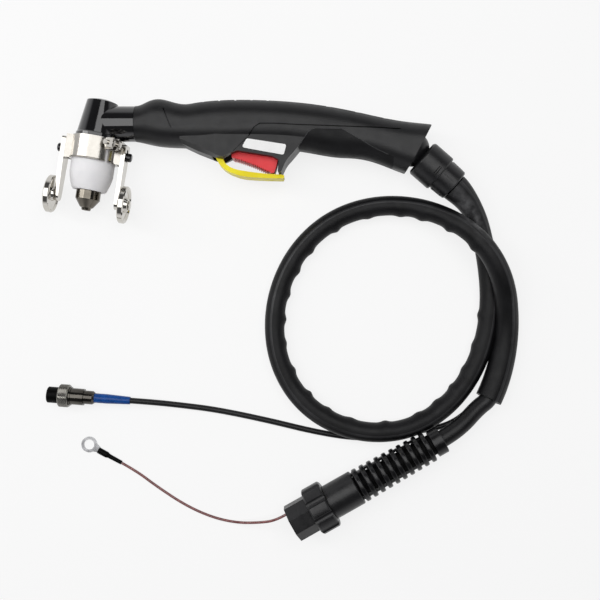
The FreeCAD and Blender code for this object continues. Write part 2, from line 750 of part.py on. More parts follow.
def station_sizes(station, inset):
    along, back, belly, narrowing, rounding = STATIONS[station]
    x = S.handle_front + along
    if station == 0:
        top, bottom = S.neck_line + S.neck_radius - inset, S.neck_line - S.neck_radius + inset
        half = S.neck_radius + 0.1 - inset
    else:
        top, bottom = S.neck_line + back - inset, S.neck_line - belly + inset
        half = S.handle_half_width - narrowing - inset
    smaller = min(half.value, (top.value - bottom.value) / 2)
    corner = half * rounding if half.value <= smaller + 1e-6 else (top - bottom) * (rounding / 2)
    return x, top, bottom, half, corner


def handle_form(name, inset, first=0, last=len(STATIONS) - 1):
    """A loft through rounded sections that follow the grip's back and belly."""
    body = new_body(name, MID_PLACE)
    sections = []
    for station in range(first, last + 1):
        x, top, bottom, half, corner = station_sizes(station, inset)
        sketch = new_sketch(body, "YZ", x)
        outline(sketch, [
            (bottom + corner, -half, corner, -1), (top - corner, -half), (top, -half + corner, corner, -1),
            (top, half - corner), (top - corner, half, corner, -1), (bottom + corner, half),
            (bottom, half - corner, corner, -1), (bottom, -half + corner),
        ])
        sections.append(sketch)
    loft = body.newObject("PartDesign::AdditiveLoft", name + "_loft")
    loft.Profile = sections[0]
    loft.Sections = sections[1:]
    loft.Ruled = False
    return body


def trigger_housing():
    """The flat-sided block below the grip: nose, trigger opening and rear guard fin. Its nose
    slopes in from the flat sides to a narrower core, which makes the underside's facets."""
    body = new_body("trigger_housing", MID_PLACE)
    tx, ty = S.trigger_pivot_x, S.trigger_pivot_y
    lx, ly = S.lever_pivot_x, S.lever_pivot_y
    shared = [
        (tx - 4.0, ty - 3.3), (tx + 2.5, ty - 0.9), (tx + 29.5, ty - 5.2), (tx + 34.6, ty - 8.0),
        (tx + 33.9, ty - 16.6), (tx + 35.0, ty - 18.2), (tx + 36.7, ty - 17.3), (tx + 38.3, ty - 13.4),
        (tx + 39.8, ty - 10.2), (tx + 41.7, ty - 7.3), (tx + 46.3, ty - 2.1), (tx + 50.5, ty + 2.9),
        (tx + 54.6, ty + 8.5), (tx + 58.5, ty + 13.4), (tx + 60.5, ty + 17.0),
    ]
    side = [(lx - 30, ly + 18.6), (lx - 30.6, ly + 12.4), (lx - 16, ly + 5.2), (lx - 0.6, ly - 3.2),
            (lx + 4.3, ly - 4.6)]
    core = [(lx - 28, ly + 18.6), (lx - 28, ly + 6.6), (lx - 16.5, ly + 1.2), (lx - 2.6, ly - 4.2),
            (lx + 4.3, ly - 5.4)]
    sections = []
    outer, inner = S.housing_half_width, S.housing_core_half_width
    for half, front in ((-outer, side), (-inner, core), (inner, core), (outer, side)):
        sketch = new_sketch(body, "XY", half)
        outline(sketch, front + shared)
        sections.append(sketch)
    loft = body.newObject("PartDesign::AdditiveLoft", "trigger_housing_loft")
    loft.Profile = sections[0]
    loft.Sections = sections[1:]
    loft.Ruled = True
    apex, full = lx - 33.0, lx - 2.0
    extrude(body, 120.0, plane="XZ", cut=True, outlines=[
        [(apex, outer - 2.9), (full, outer), (full, outer + 5), (apex, outer + 5)],
        [(apex, -outer - 5), (full, -outer - 5), (full, -outer), (apex, -outer + 2.9)],
    ])
    return body


def shell_parts():
    outer = handle_form("grip_outer", 0)
    skin = handle_form("grip_skin", S.grip_depth)
    cavity = handle_form("grip_cavity", S.shell_wall, *CAVITY_STATIONS)
    return outer, skin, cavity, trigger_housing()


def region(name, points, length, plane="XY", offset=None, both=True):
    body = new_body(name, MID_PLACE)
    extrude(body, length, outlines=[points], plane=plane, offset=offset, both=both)
    return body


def grips(outer, skin):
    """Two rubber inserts: a notched strip along the back and a palm insert under the tail."""
    rind = boolean("Cut", "grip_rind", outer, [skin])
    front = S.handle_front
    strip_start, strip_end = front + 46.0, front + 206.0
    half = S.top_grip_half_width
    strip = region("strip_region", [
        (strip_start, S.neck_line - 4), (strip_end, S.neck_line - 4), (strip_end, S.neck_line + 30),
        (strip_start, S.neck_line + 30),
    ], 2 * half)
    top = boolean("Common", "top_grip", rind, [strip])
    notches = new_body("grip_notches", MID_PLACE)
    width, depth, skirt = S.top_grip_notch, S.notch_depth, 9.0
    middles = [front + 53.9 + S.notch_pitch * i for i in range(5)]
    ramps = [front + 152.5, front + 175.5, front + 197.7]
    extrude(notches, 2 * half + 2, outlines=[
        [(m - width / 2, back_height(m) - depth), (m + width / 2, back_height(m) - depth),
         (m + width / 2, back_height(m) + skirt), (m - width / 2, back_height(m) + skirt)]
        for m in middles
    ] + [
        [(m - width / 2, back_height(m) - depth), (m + S.ramp_length, back_height(m + S.ramp_length) + 0.3),
         (m + S.ramp_length, back_height(m) + skirt), (m - width / 2, back_height(m) + skirt)]
        for m in ramps
    ])
    keep("grip_top", boolean("Cut", "top_grip_notched", top, [notches]))
    tx, ty = S.trigger_pivot_x, S.trigger_pivot_y
    palm = region("palm_region", [
        (tx + 50.5, ty - 28), (tx + 50.5, ty + 3.5), (tx + 57.5, ty + 13.0), (tx + 60.8, ty + 15.3),
        (tx + 63.4, ty + 15.9), (tx + 84.0, ty + 15.9), (tx + 88.8, ty + 13.0), (tx + 109.7, ty + 1.1),
        (tx + 124.5, ty - 5.7), (tx + 126.5, ty - 28),
    ], 60.0)
    keep("grip_rear", boolean("Common", "palm_grip", rind, [palm]))
    return top, rind


def back_height(x):
    """Height of the grip's back at x, between the stations on either side of it."""
    along = x.value - S.handle_front.value
    for before, after in zip(STATIONS, STATIONS[1:]):
        if before[0] <= along <= after[0]:
            share = (along - before[0]) / (after[0] - before[0])
            return S.neck_line + (before[1] * (1 - share) + after[1] * share)
    return S.neck_line + STATIONS[-1][1]


BOSSES = [(27.0, 9.8), (55.0, 10.8), (118.0, 9.6), (152.0, 3.5), (27.0, -12.6)]


def seams(rind):
    """Shallow grooves where the covers of both sides meet the rest of the grip."""
    tx, ty, half = S.trigger_pivot_x, S.trigger_pivot_y, S.seam_width / 2
    front, line = S.handle_front, S.neck_line
    grip_lines = [
        [(tx + 9.0, ty + 8.0), (tx + 15.5, ty + 16.8), (tx + 19.9, ty + 19.7), (tx + 31.5, ty + 19.7),
         (tx + 50.9, ty + 18.7), (tx + 74.7, ty + 18.1), (tx + 109.7, ty + 17.0), (tx + 130.0, ty + 15.9)],
        [(front + 23.5, line + 9.7), (front + 29.9, line - 5.9)],
    ]
    strips = new_body("seam_strips", MID_PLACE)
    extrude(strips, 60.0, outlines=[strip_outline(points, half) for points in grip_lines])
    side = new_body("side_seams", MID_PLACE)
    depth = S.housing_half_width - S.seam_depth
    low = strip_outline([(tx - 0.9, ty - 1.7), (tx + 10.8, ty + 9.7), (tx + 12.8, ty + 12.9)], half)
    for back in (False, True):
        extrude(side, 4.0, outlines=[low], both=False, back=back, offset=-depth if back else depth)
    return [boolean("Common", "grip_seams", rind, [strips]), side]


def strip_outline(points, half):
    """A band of constant height or width round an open line of corners."""
    upper, lower = [], []
    for i, (x, y) in enumerate(points):
        before, after = points[max(i - 1, 0)], points[min(i + 1, len(points) - 1)]
        run = V(as_size(after[0] - before[0]).value, as_size(after[1] - before[1]).value, 0).normalize()
        upper.append((x - half * run.y, y + half * run.x))
        lower.append((x + half * run.y, y - half * run.x))
    return lower + upper[::-1]


def boss_centres():
    return [(S.handle_front + along, S.neck_line + height) for along, height in BOSSES]


def handle_shells():
    outer, skin, cavity, housing = shell_parts()
    top, rind = grips(outer, skin)
    palm_solid = exports["grip_rear"]
    front, line = S.handle_front, S.neck_line
    tx, ty = S.trigger_pivot_x, S.trigger_pivot_y

    block = fuse("handle_block", [outer, housing])
    slot = new_body("trigger_slot", MID_PLACE)
    extrude(slot, 2 * (S.trigger_half_width + S.slot_side_play), outlines=[[
        (S.lever_pivot_x - 4.8, -30.0), (S.lever_pivot_x - 4.8, S.lever_pivot_y + 4.6),
        (tx - 6.0, line - 13.0), (tx + 35.4, line - 13.0), (tx + 35.4, ty - 7.4), (tx + 34.4, ty - 16.0),
        (tx + 34.4, -30.0),
    ]])
    neck_way = new_body("neck_way", frame_at(front.value, line.value, MID, 0))
    revolve(neck_way, [
        (-1, 0), (-1, S.neck_spigot_radius + S.fit_play),
        (S.neck_spigot_length + 0.3, S.neck_spigot_radius + S.fit_play), (S.neck_spigot_length + 0.3, 0),
    ])
    socket = doc.addObject("Part::Sphere", "ball_socket")
    set_size(socket, "Radius", S.ball_radius + S.ball_play)
    socket.Placement = frame_at(BALL_CENTRE.x, BALL_CENTRE.y, MID, 0)
    lead_way = new_body("lead_way", SWIVEL_STRAIGHT)
    revolve(lead_way, [
        (-S.ball_radius - 26, 0), (-S.ball_radius - 26, S.lead_radius + 0.6), (-4, S.lead_radius + 0.6), (-4, 0),
    ])
    beyond = new_body("beyond_mouth", MOUTH_PLACE)
    extrude(beyond, 80.0, outlines=[[(0, -60), (60, -60), (60, 60), (0, 60)]])
    corner = region("tail_corner", [
        (front + 232.3, line + 10), (front + 232.6, line + 0.3), (front + 234.0, line - 1.2),
        (front + 234.6, line - 3.8), (front + 250, line - 3.8), (front + 250, line + 10),
    ], 60.0)
    tools = [cavity, slot, neck_way, socket, lead_way, beyond, corner, palm_solid, top]
    hollow = boolean("Cut", "handle_hollow", block, tools + seams(rind))

    ribs = new_body("shell_ribs", MID_PLACE)
    extrude(ribs, 2 * (S.handle_half_width - 1.8), circles=[(x, y, S.boss_radius) for x, y in boss_centres()])
    gap = S.switch_half_width + 0.1
    extrude(ribs, 2 * (S.handle_half_width - 2.4), outlines=[
        [(S.switch_x - 6, S.switch_y + 0.6), (S.switch_x + 6, S.switch_y + 0.6), (S.switch_x + 6, S.switch_y + 5),
         (S.switch_x - 6, S.switch_y + 5)],
        [(S.spring_x - 3, S.switch_y + 6), (S.spring_x + 3, S.switch_y + 6), (S.spring_x + 3, S.switch_y + 7.4),
         (S.spring_x - 3, S.switch_y + 7.4)],
    ])
    extrude(ribs, 2 * gap, cut=True, outlines=[
        [(S.switch_x - 7, S.switch_y - 1), (S.switch_x + 7, S.switch_y - 1), (S.switch_x + 7, S.switch_y + 5.6),
         (S.switch_x - 7, S.switch_y + 5.6)],
    ])
    inner_form = boolean("Common", "ribs_inside", ribs, [skin])
    solid = fuse("handle_solid", [hollow, inner_form])

    holes = new_body("screw_holes", MID_PLACE)
    extrude(holes, S.handle_half_width + 6, offset=-S.handle_half_width + 3.0, both=False,
            circles=[(x, y, S.screw_radius) for x, y in boss_centres()])
    counter = new_body("screw_counterbores", frame_at(0, 0, 0, 0))
    extrude(counter, 2 * (S.screw_head_height + 3.4), circles=[
        (x, y, S.screw_head_radius + 0.3) for x, y in boss_centres()
    ])
    pin_holes = new_body("pivot_pin_holes", MID_PLACE)
    extrude(pin_holes, 2 * (S.housing_half_width - 3.0), circles=[
        (tx, ty, S.pivot_pin_radius), (S.lever_pivot_x, S.lever_pivot_y, S.pivot_pin_radius),
    ])
    drilled = boolean("Cut", "handle_drilled", solid, [holes, counter, pin_holes])
    left_half = region("left_half", [(-200, -100), (200, -100), (200, 100), (-200, 100)], 60.0, both=False)
    right_half = new_body("right_half", MID_PLACE)
    extrude(right_half, 60.0, outlines=[[(-200, -100), (200, -100), (200, 100), (-200, 100)]], both=False, back=True)
    keep("handle_shell_left", boolean("Common", "shell_left", drilled, [left_half]))
    keep("handle_shell_right", boolean("Common", "shell_right", drilled, [right_half]))


def shell_screws():
    """Countersunk from the table side; one group of separate screws."""
    body_list = []
    seat = S.screw_head_height + 3.4
    for i, (x, y) in enumerate(boss_centres()):
        body = new_body("shell_screw_%d" % i, FreeCAD.Placement(
            V(x.value, y.value, 0), FreeCAD.Rotation(V(0, 1, 0), -90)
        ))
        revolve(body, [
            (seat - S.screw_head_height, 0), (seat - S.screw_head_height, S.screw_head_radius),
            (seat, S.screw_head_radius), (seat, S.screw_radius), (MID + 9.0, S.screw_radius), (MID + 9.0, 0),
        ])
        body_list.append(body)
    return keep("handle_screws", group("handle_screws_group", body_list))


def group(name, items):
    """Separate solids kept in one node."""
    doc.recompute()
    item = doc.addObject("Part::Feature", name)
    item.Shape = Part.makeCompound([part.Shape for part in items])
    return item


def inner_hose():
    coupling_start = S.handle_front - S.head_x + S.neck_spigot_length + 24.2
    place = frame_at(S.head_x.value, S.neck_line.value, MID, 0)
    body = new_body("lead_coupling", place)
    corners = [(7.0 * math.cos(math.radians(a)), 7.0 * math.sin(math.radians(a))) for a in range(0, 360, 60)]
    extrude(body, 18.0, outlines=[corners], circles=[(0, 0, S.gas_tube_bore)], plane="YZ",
            offset=coupling_start, both=False)
    keep("lead_coupling", body)
    start = place.multVec(V(coupling_start.value + 18.1, 0, 0))
    end = SWIVEL_STRAIGHT.multVec(V(-S.ball_radius.value - 1.0, 0, 0))
    middle = V(start.x * 0.45 + end.x * 0.55, start.y * 0.62 + end.y * 0.38, MID)
    return keep("inner_hose", cord_tube("inner_hose_tube", [start, middle, end], S.lead_radius.value - 1.0))


def trigger():
    body = new_body("trigger", MID_PLACE)
    x, y = S.trigger_pivot_x, S.trigger_pivot_y
    teeth = []
    start, middle, end = (-1.0, -5.9), (12.0, -9.4), (26.2, -16.6)
    count = int(S.trigger_teeth.value)
    for i in range(count):
        for share, rise in ((0.1, 0.0), (0.55, 0.0), (0.65, 1.0), (1.0, 1.0)):
            t = (i + share) / count
            along = start[0] * (1 - t) ** 2 + middle[0] * 2 * t * (1 - t) + end[0] * t * t
            drop = start[1] * (1 - t) ** 2 + middle[1] * 2 * t * (1 - t) + end[1] * t * t
            teeth.append((x + along, y + drop + S.trigger_tooth_depth * rise))
    extrude(body, 2 * S.trigger_half_width, outlines=[
        [(x - 2.6, y - 5.0)] + teeth + [
            (x + 28.6, y - 17.3), (x + 31.0, y - 17.0, 3.0, -1), (x + 33.6, y - 7.6, 40.0, -1),
            (x + 33.0, y - 5.0), (x + 24.0, y - 1.4), (x + 15.0, y + 0.9), (x + 2.0, y + 2.5),
            (x - 2.6, y + 1.8, S.trigger_hub_radius, -1),
        ],
    ])
    extrude(body, 40.0, cut=True, circles=[(x, y, S.pivot_pin_radius + S.running_play)])
    return keep("trigger", body)


def safety_lever():
    """A bow in front of the trigger that swings forward on a pin in the nose."""
    body = new_body("safety_lever", MID_PLACE)
    x, y = S.lever_pivot_x, S.lever_pivot_y
    extrude(body, 2 * S.lever_half_width, outlines=[[
        (x - S.lever_hub_radius, y), (x + S.lever_hub_radius, y, S.lever_hub_radius, 1), (x + 3.4, y - 3.0),
        (x + 5.0, y - 7.6), (x + 11.2, y - 12.2, 16.0, -1), (x + 19.0, y - 14.3, 30.0, -1),
        (x + 39.2, y - 16.9, 300.0, -1), (x + 51.4, y - 17.6), (x + 52.4, y - 18.6, 1.4, 1),
        (x + 51.8, y - 20.5), (x + 24.6, y - 19.5, 400.0, 1), (x + 12.0, y - 16.6, 40.0, 1),
        (x + 0.6, y - 8.4, 24.0, 1), (x - 2.6, y - 2.4, 34.0, 1),
    ]])
    extrude(body, 40.0, cut=True, circles=[(x, y, S.pivot_pin_radius + S.running_play)])
    for side in (1, -1):
        extrude(body, 4.0, cut=True, both=False, back=side > 0, offset=(S.lever_half_width - 2.0) * side,
                circles=[(x, y, S.lever_hub_radius + 0.6)])
    return keep("safety_lever", body)


def pivots_and_springs():
    half = S.housing_half_width - 3.2
    for name, x, y in (
        ("trigger_pin", S.trigger_pivot_x, S.trigger_pivot_y),
        ("lever_pin", S.lever_pivot_x, S.lever_pivot_y),
    ):
        pin = new_body(name, MID_PLACE)
        extrude(pin, 2 * half, circles=[(x, y, S.pivot_pin_radius)])
        keep(name, pin)
    keep("trigger_spring", coil(
        "trigger_spring_coil", V(S.spring_x.value, S.trigger_pivot_y.value - 0.2, MID),
        V(0, 1, 0), S.spring_radius.value, S.switch_y.value + 5.7 - S.trigger_pivot_y.value, 4
    ))
    keep("lever_spring", coil(
        "lever_spring_coil", V(S.lever_pivot_x.value, S.lever_pivot_y.value, MID + S.lever_half_width.value - 1.5),
        V(0, 0, 1), S.pivot_pin_radius.value + S.spring_wire.value + 0.3, 1.4, 1.5
    ))


def coil(name, foot, direction, radius, height, turns):
    """A round-wire spring standing on foot."""
    wire = S.spring_wire.value
    helix = Part.makeHelix(height / turns, height, radius)
    start = helix.Vertexes[0].Point
    profile = Part.Wire(Part.makeCircle(wire, start, V(0, 1, 0)))
    shape = Part.Wire(helix.Edges).makePipeShell([profile], True, False)
    item = doc.addObject("Part::Feature", name)
    item.Shape = shape
    item.Placement = FreeCAD.Placement(foot, FreeCAD.Rotation(Z_AXIS, direction))
    return item


def microswitch():
    body = new_body("micro_switch", MID_PLACE)
    left, low = S.switch_x - S.switch_length / 2, S.switch_y
    right, high = S.switch_x + S.switch_length / 2, S.switch_y + S.switch_height
    extrude(body, 2 * S.switch_half_width, outlines=[[
        (left, low + 1), (left + 1, low), (right - 1, low), (right, low + 1), (right, high - 1), (right - 1, high),
        (left + 1, high), (left, high - 1),
    ]])
    button_x = S.switch_x - 4.0
    extrude(body, 4.0, cut=True, both=False, plane="XZ", offset=-low,
            circles=[(button_x, 0, S.button_radius + 0.35)])
    keep("micro_switch", body)
    button = new_body("switch_button", frame_at(button_x.value, low.value, MID, 90))
    revolve(button, [
        (-2.7, 0), (-2.7, S.button_radius - 0.3), (-2.4, S.button_radius), (2.0, S.button_radius), (2.0, 0),
    ])
    keep("switch_button", button)


# ---------------------------------------------------------------- swivel and lead set

def swivel():
    start, length = S.collar_start, S.collar_length
    sphere_meet = 10.0
    body = new_body("swivel_ball", SWIVEL_PLACE)
    bore, collar, end = S.lead_radius + 0.3, S.collar_radius, S.collar_start + S.collar_length
    revolve(body, [
        (-sphere_meet, bore), (-sphere_meet, 9.8), (sphere_meet, 9.8, S.ball_radius, 1),
        (start, S.ball_neck_radius), (start, collar - 2.2), (start + 2.2, collar, 3.2, 1), (end - 1.0, collar),
        (end, collar - 0.8), (end, bore),
    ])
    extrude(body, 3.0, cut=True, outlines=[
        [(start + 6.0, collar - 0.7), (start + 6.9, collar - 0.7), (start + 6.9, collar + 2), (start + 6.0, collar + 2)],
        [(start + 15.4, collar - 0.7), (start + 16.3, collar - 0.7), (start + 16.3, collar + 2), (start + 15.4, collar + 2)],
    ])
    keep("swivel_ball", body)
    sleeve = new_body("swivel_sleeve", SWIVEL_PLACE)
    radius, tail = S.sleeve_radius, end + S.sleeve_length
    revolve(sleeve, [
        (end, bore), (end, radius), (tail - 1.0, radius), (tail, radius - 1.0), (tail, S.cable_radius + 1.6),
        (tail - 5.0, S.cable_radius + 0.4), (tail - 5.0, bore),
    ])
    rib = extrude(sleeve, 1.6, outlines=[[
        (end + 1.4, radius - 1.0), (tail - 3.0, radius - 1.0), (tail - 3.0, radius + 0.3), (end + 1.4, radius + 0.7),
    ]])
    polar(sleeve, rib, 4)
    keep("swivel_sleeve", sleeve)


def cord_tube(name, points, radius):
    """Straight runs joined by the largest tangent arcs that fit them."""
    points = [V(*p) for p in points]
    edges, here, bends = [], points[0], []
    for before, corner, after in zip(points, points[1:], points[2:]):
        into, out = (corner - before).normalize(), (after - corner).normalize()
        run = min((corner - before).Length, (after - corner).Length)
        turn = into.getAngle(out)
        bend = 0.45 * run / math.tan(turn / 2)
        reach = 0.45 * run
        first, last = corner - into * reach, corner + out * reach
        inward = (out - into).normalize()
        crown = corner + inward * (bend / math.cos(turn / 2) - bend)
        edges.append(Part.LineSegment(here, first).toShape())
        edges.append(Part.Arc(first, crown, last).toShape())
        here = last
        bends.append(bend)
    edges.append(Part.LineSegment(here, points[-1]).toShape())
    path = Part.Wire(edges)
    profile = Part.Wire(Part.makeCircle(radius, points[0], points[1] - points[0]))
    item = doc.addObject("Part::Feature", name)
    item.Shape = path.makePipeShell([profile], True, False)
    share = item.Shape.Volume / (math.pi * radius ** 2 * path.Length)
    print("%s: length %.1f, volume share %.4f, radii %s" % (
        name, path.Length, share, [round(b) for b in bends]))
    if abs(share - 1) > 0.01:
        sys.exit(name + ": the tube's volume is off")
    return item


def cables():
    keep("sheathed_cable", cord_tube("sheath_tube", SHEATH_ROUTE, S.cable_radius.value))
    keep("bare_cable", cord_tube("lead_tube", LEAD_ROUTE, S.lead_radius.value))
    keep("control_cable", cord_tube("control_tube", CONTROL_ROUTE, S.control_radius.value))
    keep("pilot_wire", cord_tube("pilot_tube", PILOT_ROUTE, S.wire_radius.value))


BOOT_END = S.body_start


def strain_boot():
    """Ten ribs on a thin tube, tied by bridges that alternate from gap to gap."""
    body = new_body("strain_boot", CONNECTOR_PLACE)
    core, count = S.boot_core_radius, int(S.rib_count.value)
    profile = [(0, 0), (0, S.collar_end_radius), (S.collar_end_length - 2.6, S.collar_end_radius),
               (S.collar_end_length - 2.6, core)]
    growth = (S.rib_last_radius - S.rib_first_radius) / (S.rib_count - 1)
    first = S.collar_end_length + 0.6
    for i in range(count):
        left = first + S.rib_pitch * i
        radius = S.rib_first_radius + growth * i
        profile += [(left, core), (left + 0.4, radius), (left + S.rib_width - 0.4, radius),
                    (left + S.rib_width, core)]
    profile += [(BOOT_END, core), (BOOT_END, 0)]
    revolve(body, profile)
    for plane, start in (("XY", 0), ("XZ", 1)):
        bridges = []
        for i in range(start, count - 1, 2):
            left = first + S.rib_pitch * i + S.rib_width - 0.5
            right = first + S.rib_pitch * (i + 1) + 0.5
            bridges.append([(left, -S.web_half_width), (right, -S.web_half_width),
                            (right, S.web_half_width), (left, S.web_half_width)])
        extrude(body, 2 * (S.rib_first_radius - S.web_inset + 0.5), outlines=bridges, plane=plane)
    revolve(body, [(-1, 0), (-1, S.boot_bore), (BOOT_END + 1, S.boot_bore), (BOOT_END + 1, 0)], cut=True)
    keep("strain_boot", body)
    turned("cable_in_boot", [
        (0.1, 0), (0.1, S.lead_radius), (BOOT_END + 4, S.lead_radius), (BOOT_END + 4, 0),
    ], CONNECTOR_PLACE)


def connector():
    start, radius = S.body_start, S.body_radius
    shoulder = start + S.body_length
    face = shoulder + S.nut_length + S.nut_gap
    bore = S.lead_radius + 0.3
    turned("connector_body", [
        (start, bore), (start, radius - 1.0), (start + 1.0, radius), (shoulder - 3.0, radius),
        (shoulder, radius), (shoulder, S.spigot_radius),
        (face, S.spigot_radius), (face, S.power_nut_radius + 0.1),
        (shoulder + 2.0, S.power_nut_radius + 0.1), (shoulder + 2.0, bore),
    ], CONNECTOR_PLACE)

    nut = new_body("hand_nut", CONNECTOR_PLACE)
    left, right = shoulder + S.nut_gap / 2, face - S.nut_gap / 2
    bore = S.spigot_radius + S.running_play
    revolve(nut, [
        (left, bore), (left, S.nut_radius - 2.4), (left + 1.6, S.nut_radius, 3.0, 1), (right - 1.6, S.nut_radius),
        (right, S.nut_radius - 2.4, 3.0, 1), (right, bore),
    ])
    scallop = extrude(nut, S.nut_length + 2, plane="YZ", offset=(left + right) / 2, cut=True,
                      circles=[(S.nut_radius + S.lobe_radius * 0.55, 0, S.lobe_radius)])
    polar(nut, scallop, S.nut_lobes)
    keep("hand_nut", nut)

    shell = new_body("connector_shell", CONNECTOR_PLACE)
    across = S.shell_flats / 2
    corner = across * (1 / math.cos(math.radians(22.5)))
    corners = [
        (corner * math.cos(math.radians(22.5 + a)), corner * math.sin(math.radians(22.5 + a)))
        for a in range(0, 360, 45)
    ]
    extrude(shell, S.shell_length, outlines=[corners], plane="YZ", offset=face, both=False)
    front = face + S.shell_length
    revolve(shell, [(face - 1, 0), (face - 1, S.power_nut_radius + 0.1), (front + 1, S.power_nut_radius + 0.1),
                    (front + 1, 0)], cut=True)
    keep("connector_shell", shell)

    power = new_body("power_nut", CONNECTOR_PLACE)
    nut_start = shoulder + 2.1
    revolve(power, [
        (nut_start, 0), (nut_start, S.power_nut_radius), (front - 4.0, S.power_nut_radius),
        (front - 4.0, S.power_nut_bore), (front - 4.0 - S.power_nut_length, S.power_nut_bore),
        (front - 4.0 - S.power_nut_length, 0),
    ])
    keep("power_nut", power)


def control_plug():
    front, ring = S.plug_front_length, S.ring_length
    shell_start = front + ring
    clamp_start = shell_start + S.plug_shell_length
    sleeve_start = clamp_start + S.plug_clamp_length
    neck = S.plug_front_radius - 0.3
    insulator = new_body("plug_insulator", PLUG_PLACE)
    revolve(insulator, [
        (0, 0), (0, S.plug_front_radius - 0.5), (0.5, S.plug_front_radius), (front, S.plug_front_radius),
        (front, neck), (shell_start, neck), (shell_start, 0),
    ])
    extrude(insulator, 7.0, cut=True, both=False, plane="YZ", offset=0, back=True,
            circles=[(0, 0, S.plug_front_radius - 1.2)])
    keep("plug_insulator", insulator)
    pins = []
    for i, side in enumerate((-1, 1)):
        pin = new_body("plug_pin_%d" % i, PLUG_PLACE.multiply(frame_at(0, 0, 0, 0)))
        extrude(pin, 6.0, both=False, plane="YZ", offset=1.0, circles=[(S.pin_spacing * (side / 2), 0, S.pin_radius)])
        pins.append(pin)
    keep("plug_pins", group("plug_pins_group", pins))
    turned("coupling_ring", [
        (front + 0.1, neck + S.running_play), (front + 0.1, S.ring_radius - 0.6),
        (front + 0.7, S.ring_radius), (shell_start - 0.7, S.ring_radius), (shell_start - 0.1, S.ring_radius - 0.6),
        (shell_start - 0.1, neck + S.running_play),
    ], PLUG_PLACE)
    turned("plug_shell", [
        (shell_start, 0), (shell_start, S.plug_shell_radius + 0.8), (shell_start + 1.2, S.plug_shell_radius + 0.8),
        (shell_start + 1.2, S.plug_shell_radius), (clamp_start, S.plug_shell_radius), (clamp_start, 0),
    ], PLUG_PLACE)
    turned("plug_clamp", [
        (clamp_start, 0), (clamp_start, S.plug_clamp_radius), (sleeve_start - 1.5, S.plug_clamp_radius),
        (sleeve_start, S.plug_sleeve_radius + 0.5), (sleeve_start, 0),
    ], PLUG_PLACE)
    tail = sleeve_start + S.plug_sleeve_length
    turned("plug_sleeve", [
        (sleeve_start, 0), (sleeve_start, S.plug_sleeve_radius), (sleeve_start + 10, S.plug_sleeve_radius),
        (tail, S.plug_sleeve_end_radius), (tail, 0),
    ], PLUG_PLACE)


def ring_terminal():
    plate = new_body("ring_terminal", TERMINAL_PLACE)
    top = S.terminal_thickness - S.terminal_axis_height
    radius = S.terminal_radius
    extrude(plate, S.terminal_thickness, both=False, offset=top, back=True, outlines=[[
        (0, -radius, radius, 1), (0, radius, radius, 1), (5.3, 3.68, radius, 1), (S.shrink_start + 1, 2.0),
        (S.shrink_start + 1, -2.0), (5.3, -3.68),
    ]], circles=[(0, 0, S.terminal_hole)])
    keep("ring_terminal", plate)
    start, end = S.shrink_start, S.shrink_start + S.shrink_length
    shrink = new_body("terminal_shrink", TERMINAL_PLACE)
    revolve(shrink, [
        (start, 0), (start, S.shrink_radius - 0.3), (start + 0.6, S.shrink_radius), (start + 8.0, S.shrink_radius),
        (start + 10.0, S.shrink_end_radius), (end, S.shrink_end_radius - 0.2), (end, 0),
    ])
    extrude(shrink, S.terminal_thickness + 1, both=False, offset=top + 0.02, cut=True, outlines=[[
        (start - 1, -2.02), (start + 1.02, -2.02), (start + 1.02, 2.02), (start - 1, 2.02),
    ]])
    keep("terminal_shrink", shrink)


# ---------------------------------------------------------------- build and write

head_body()
torch_core()
gas_tube()
consumables()
shield_cup()
guide_band()
clamp_fasteners()
keep("leg_screws", group("leg_screws_group", [leg_screw("leg_screw_" + s, SIDES[s]) for s in SIDES]))
for side_name in SIDES:
    leg(side_name)
    axle(side_name)
    wheel(side_name)
handle_shells()
shell_screws()
inner_hose()
trigger()
safety_lever()
pivots_and_springs()
microswitch()
swivel()
cables()
strain_boot()
connector()
control_plug()
ring_terminal()
doc.recompute()

broken = [item.Name for item in doc.Objects if {"Invalid", "Error"} & set(item.State)]
if broken:
    sys.exit("failed objects: " + ", ".join(broken))
os.makedirs("parts", exist_ok=True)
for name, item in exports.items():
    shape = item.Shape
    if shape.isNull() or not shape.isValid() or not shape.Solids:
        sys.exit(name + ": the shape isn't a valid solid")
    shape.exportStep("parts/" + name + ".step")
print("wrote %d sub-parts" % len(exports))
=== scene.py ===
"""Looks for the plasma cutting torch: materials, cables and fine pieces around its CAD frame."""

import json
import math
import random

import bmesh
import bpy
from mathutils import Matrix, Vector


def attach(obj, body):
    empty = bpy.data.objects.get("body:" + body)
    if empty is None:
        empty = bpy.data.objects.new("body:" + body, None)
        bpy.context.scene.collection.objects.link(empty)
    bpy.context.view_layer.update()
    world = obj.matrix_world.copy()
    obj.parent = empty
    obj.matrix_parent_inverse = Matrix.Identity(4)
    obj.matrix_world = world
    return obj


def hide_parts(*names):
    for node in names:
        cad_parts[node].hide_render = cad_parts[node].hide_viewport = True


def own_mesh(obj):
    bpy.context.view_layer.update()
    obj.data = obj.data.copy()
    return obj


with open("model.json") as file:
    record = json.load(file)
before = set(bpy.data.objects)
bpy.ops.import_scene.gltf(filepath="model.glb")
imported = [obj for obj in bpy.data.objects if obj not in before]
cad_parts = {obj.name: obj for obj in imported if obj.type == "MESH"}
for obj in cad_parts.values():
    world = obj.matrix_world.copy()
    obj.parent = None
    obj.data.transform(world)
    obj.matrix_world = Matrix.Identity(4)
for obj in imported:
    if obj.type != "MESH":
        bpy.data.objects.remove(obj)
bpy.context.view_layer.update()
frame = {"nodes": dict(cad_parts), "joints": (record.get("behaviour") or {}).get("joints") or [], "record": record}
NODES = frame["nodes"]
JOINTS = {joint["name"]: joint for joint in frame["joints"]}
MM = 0.001

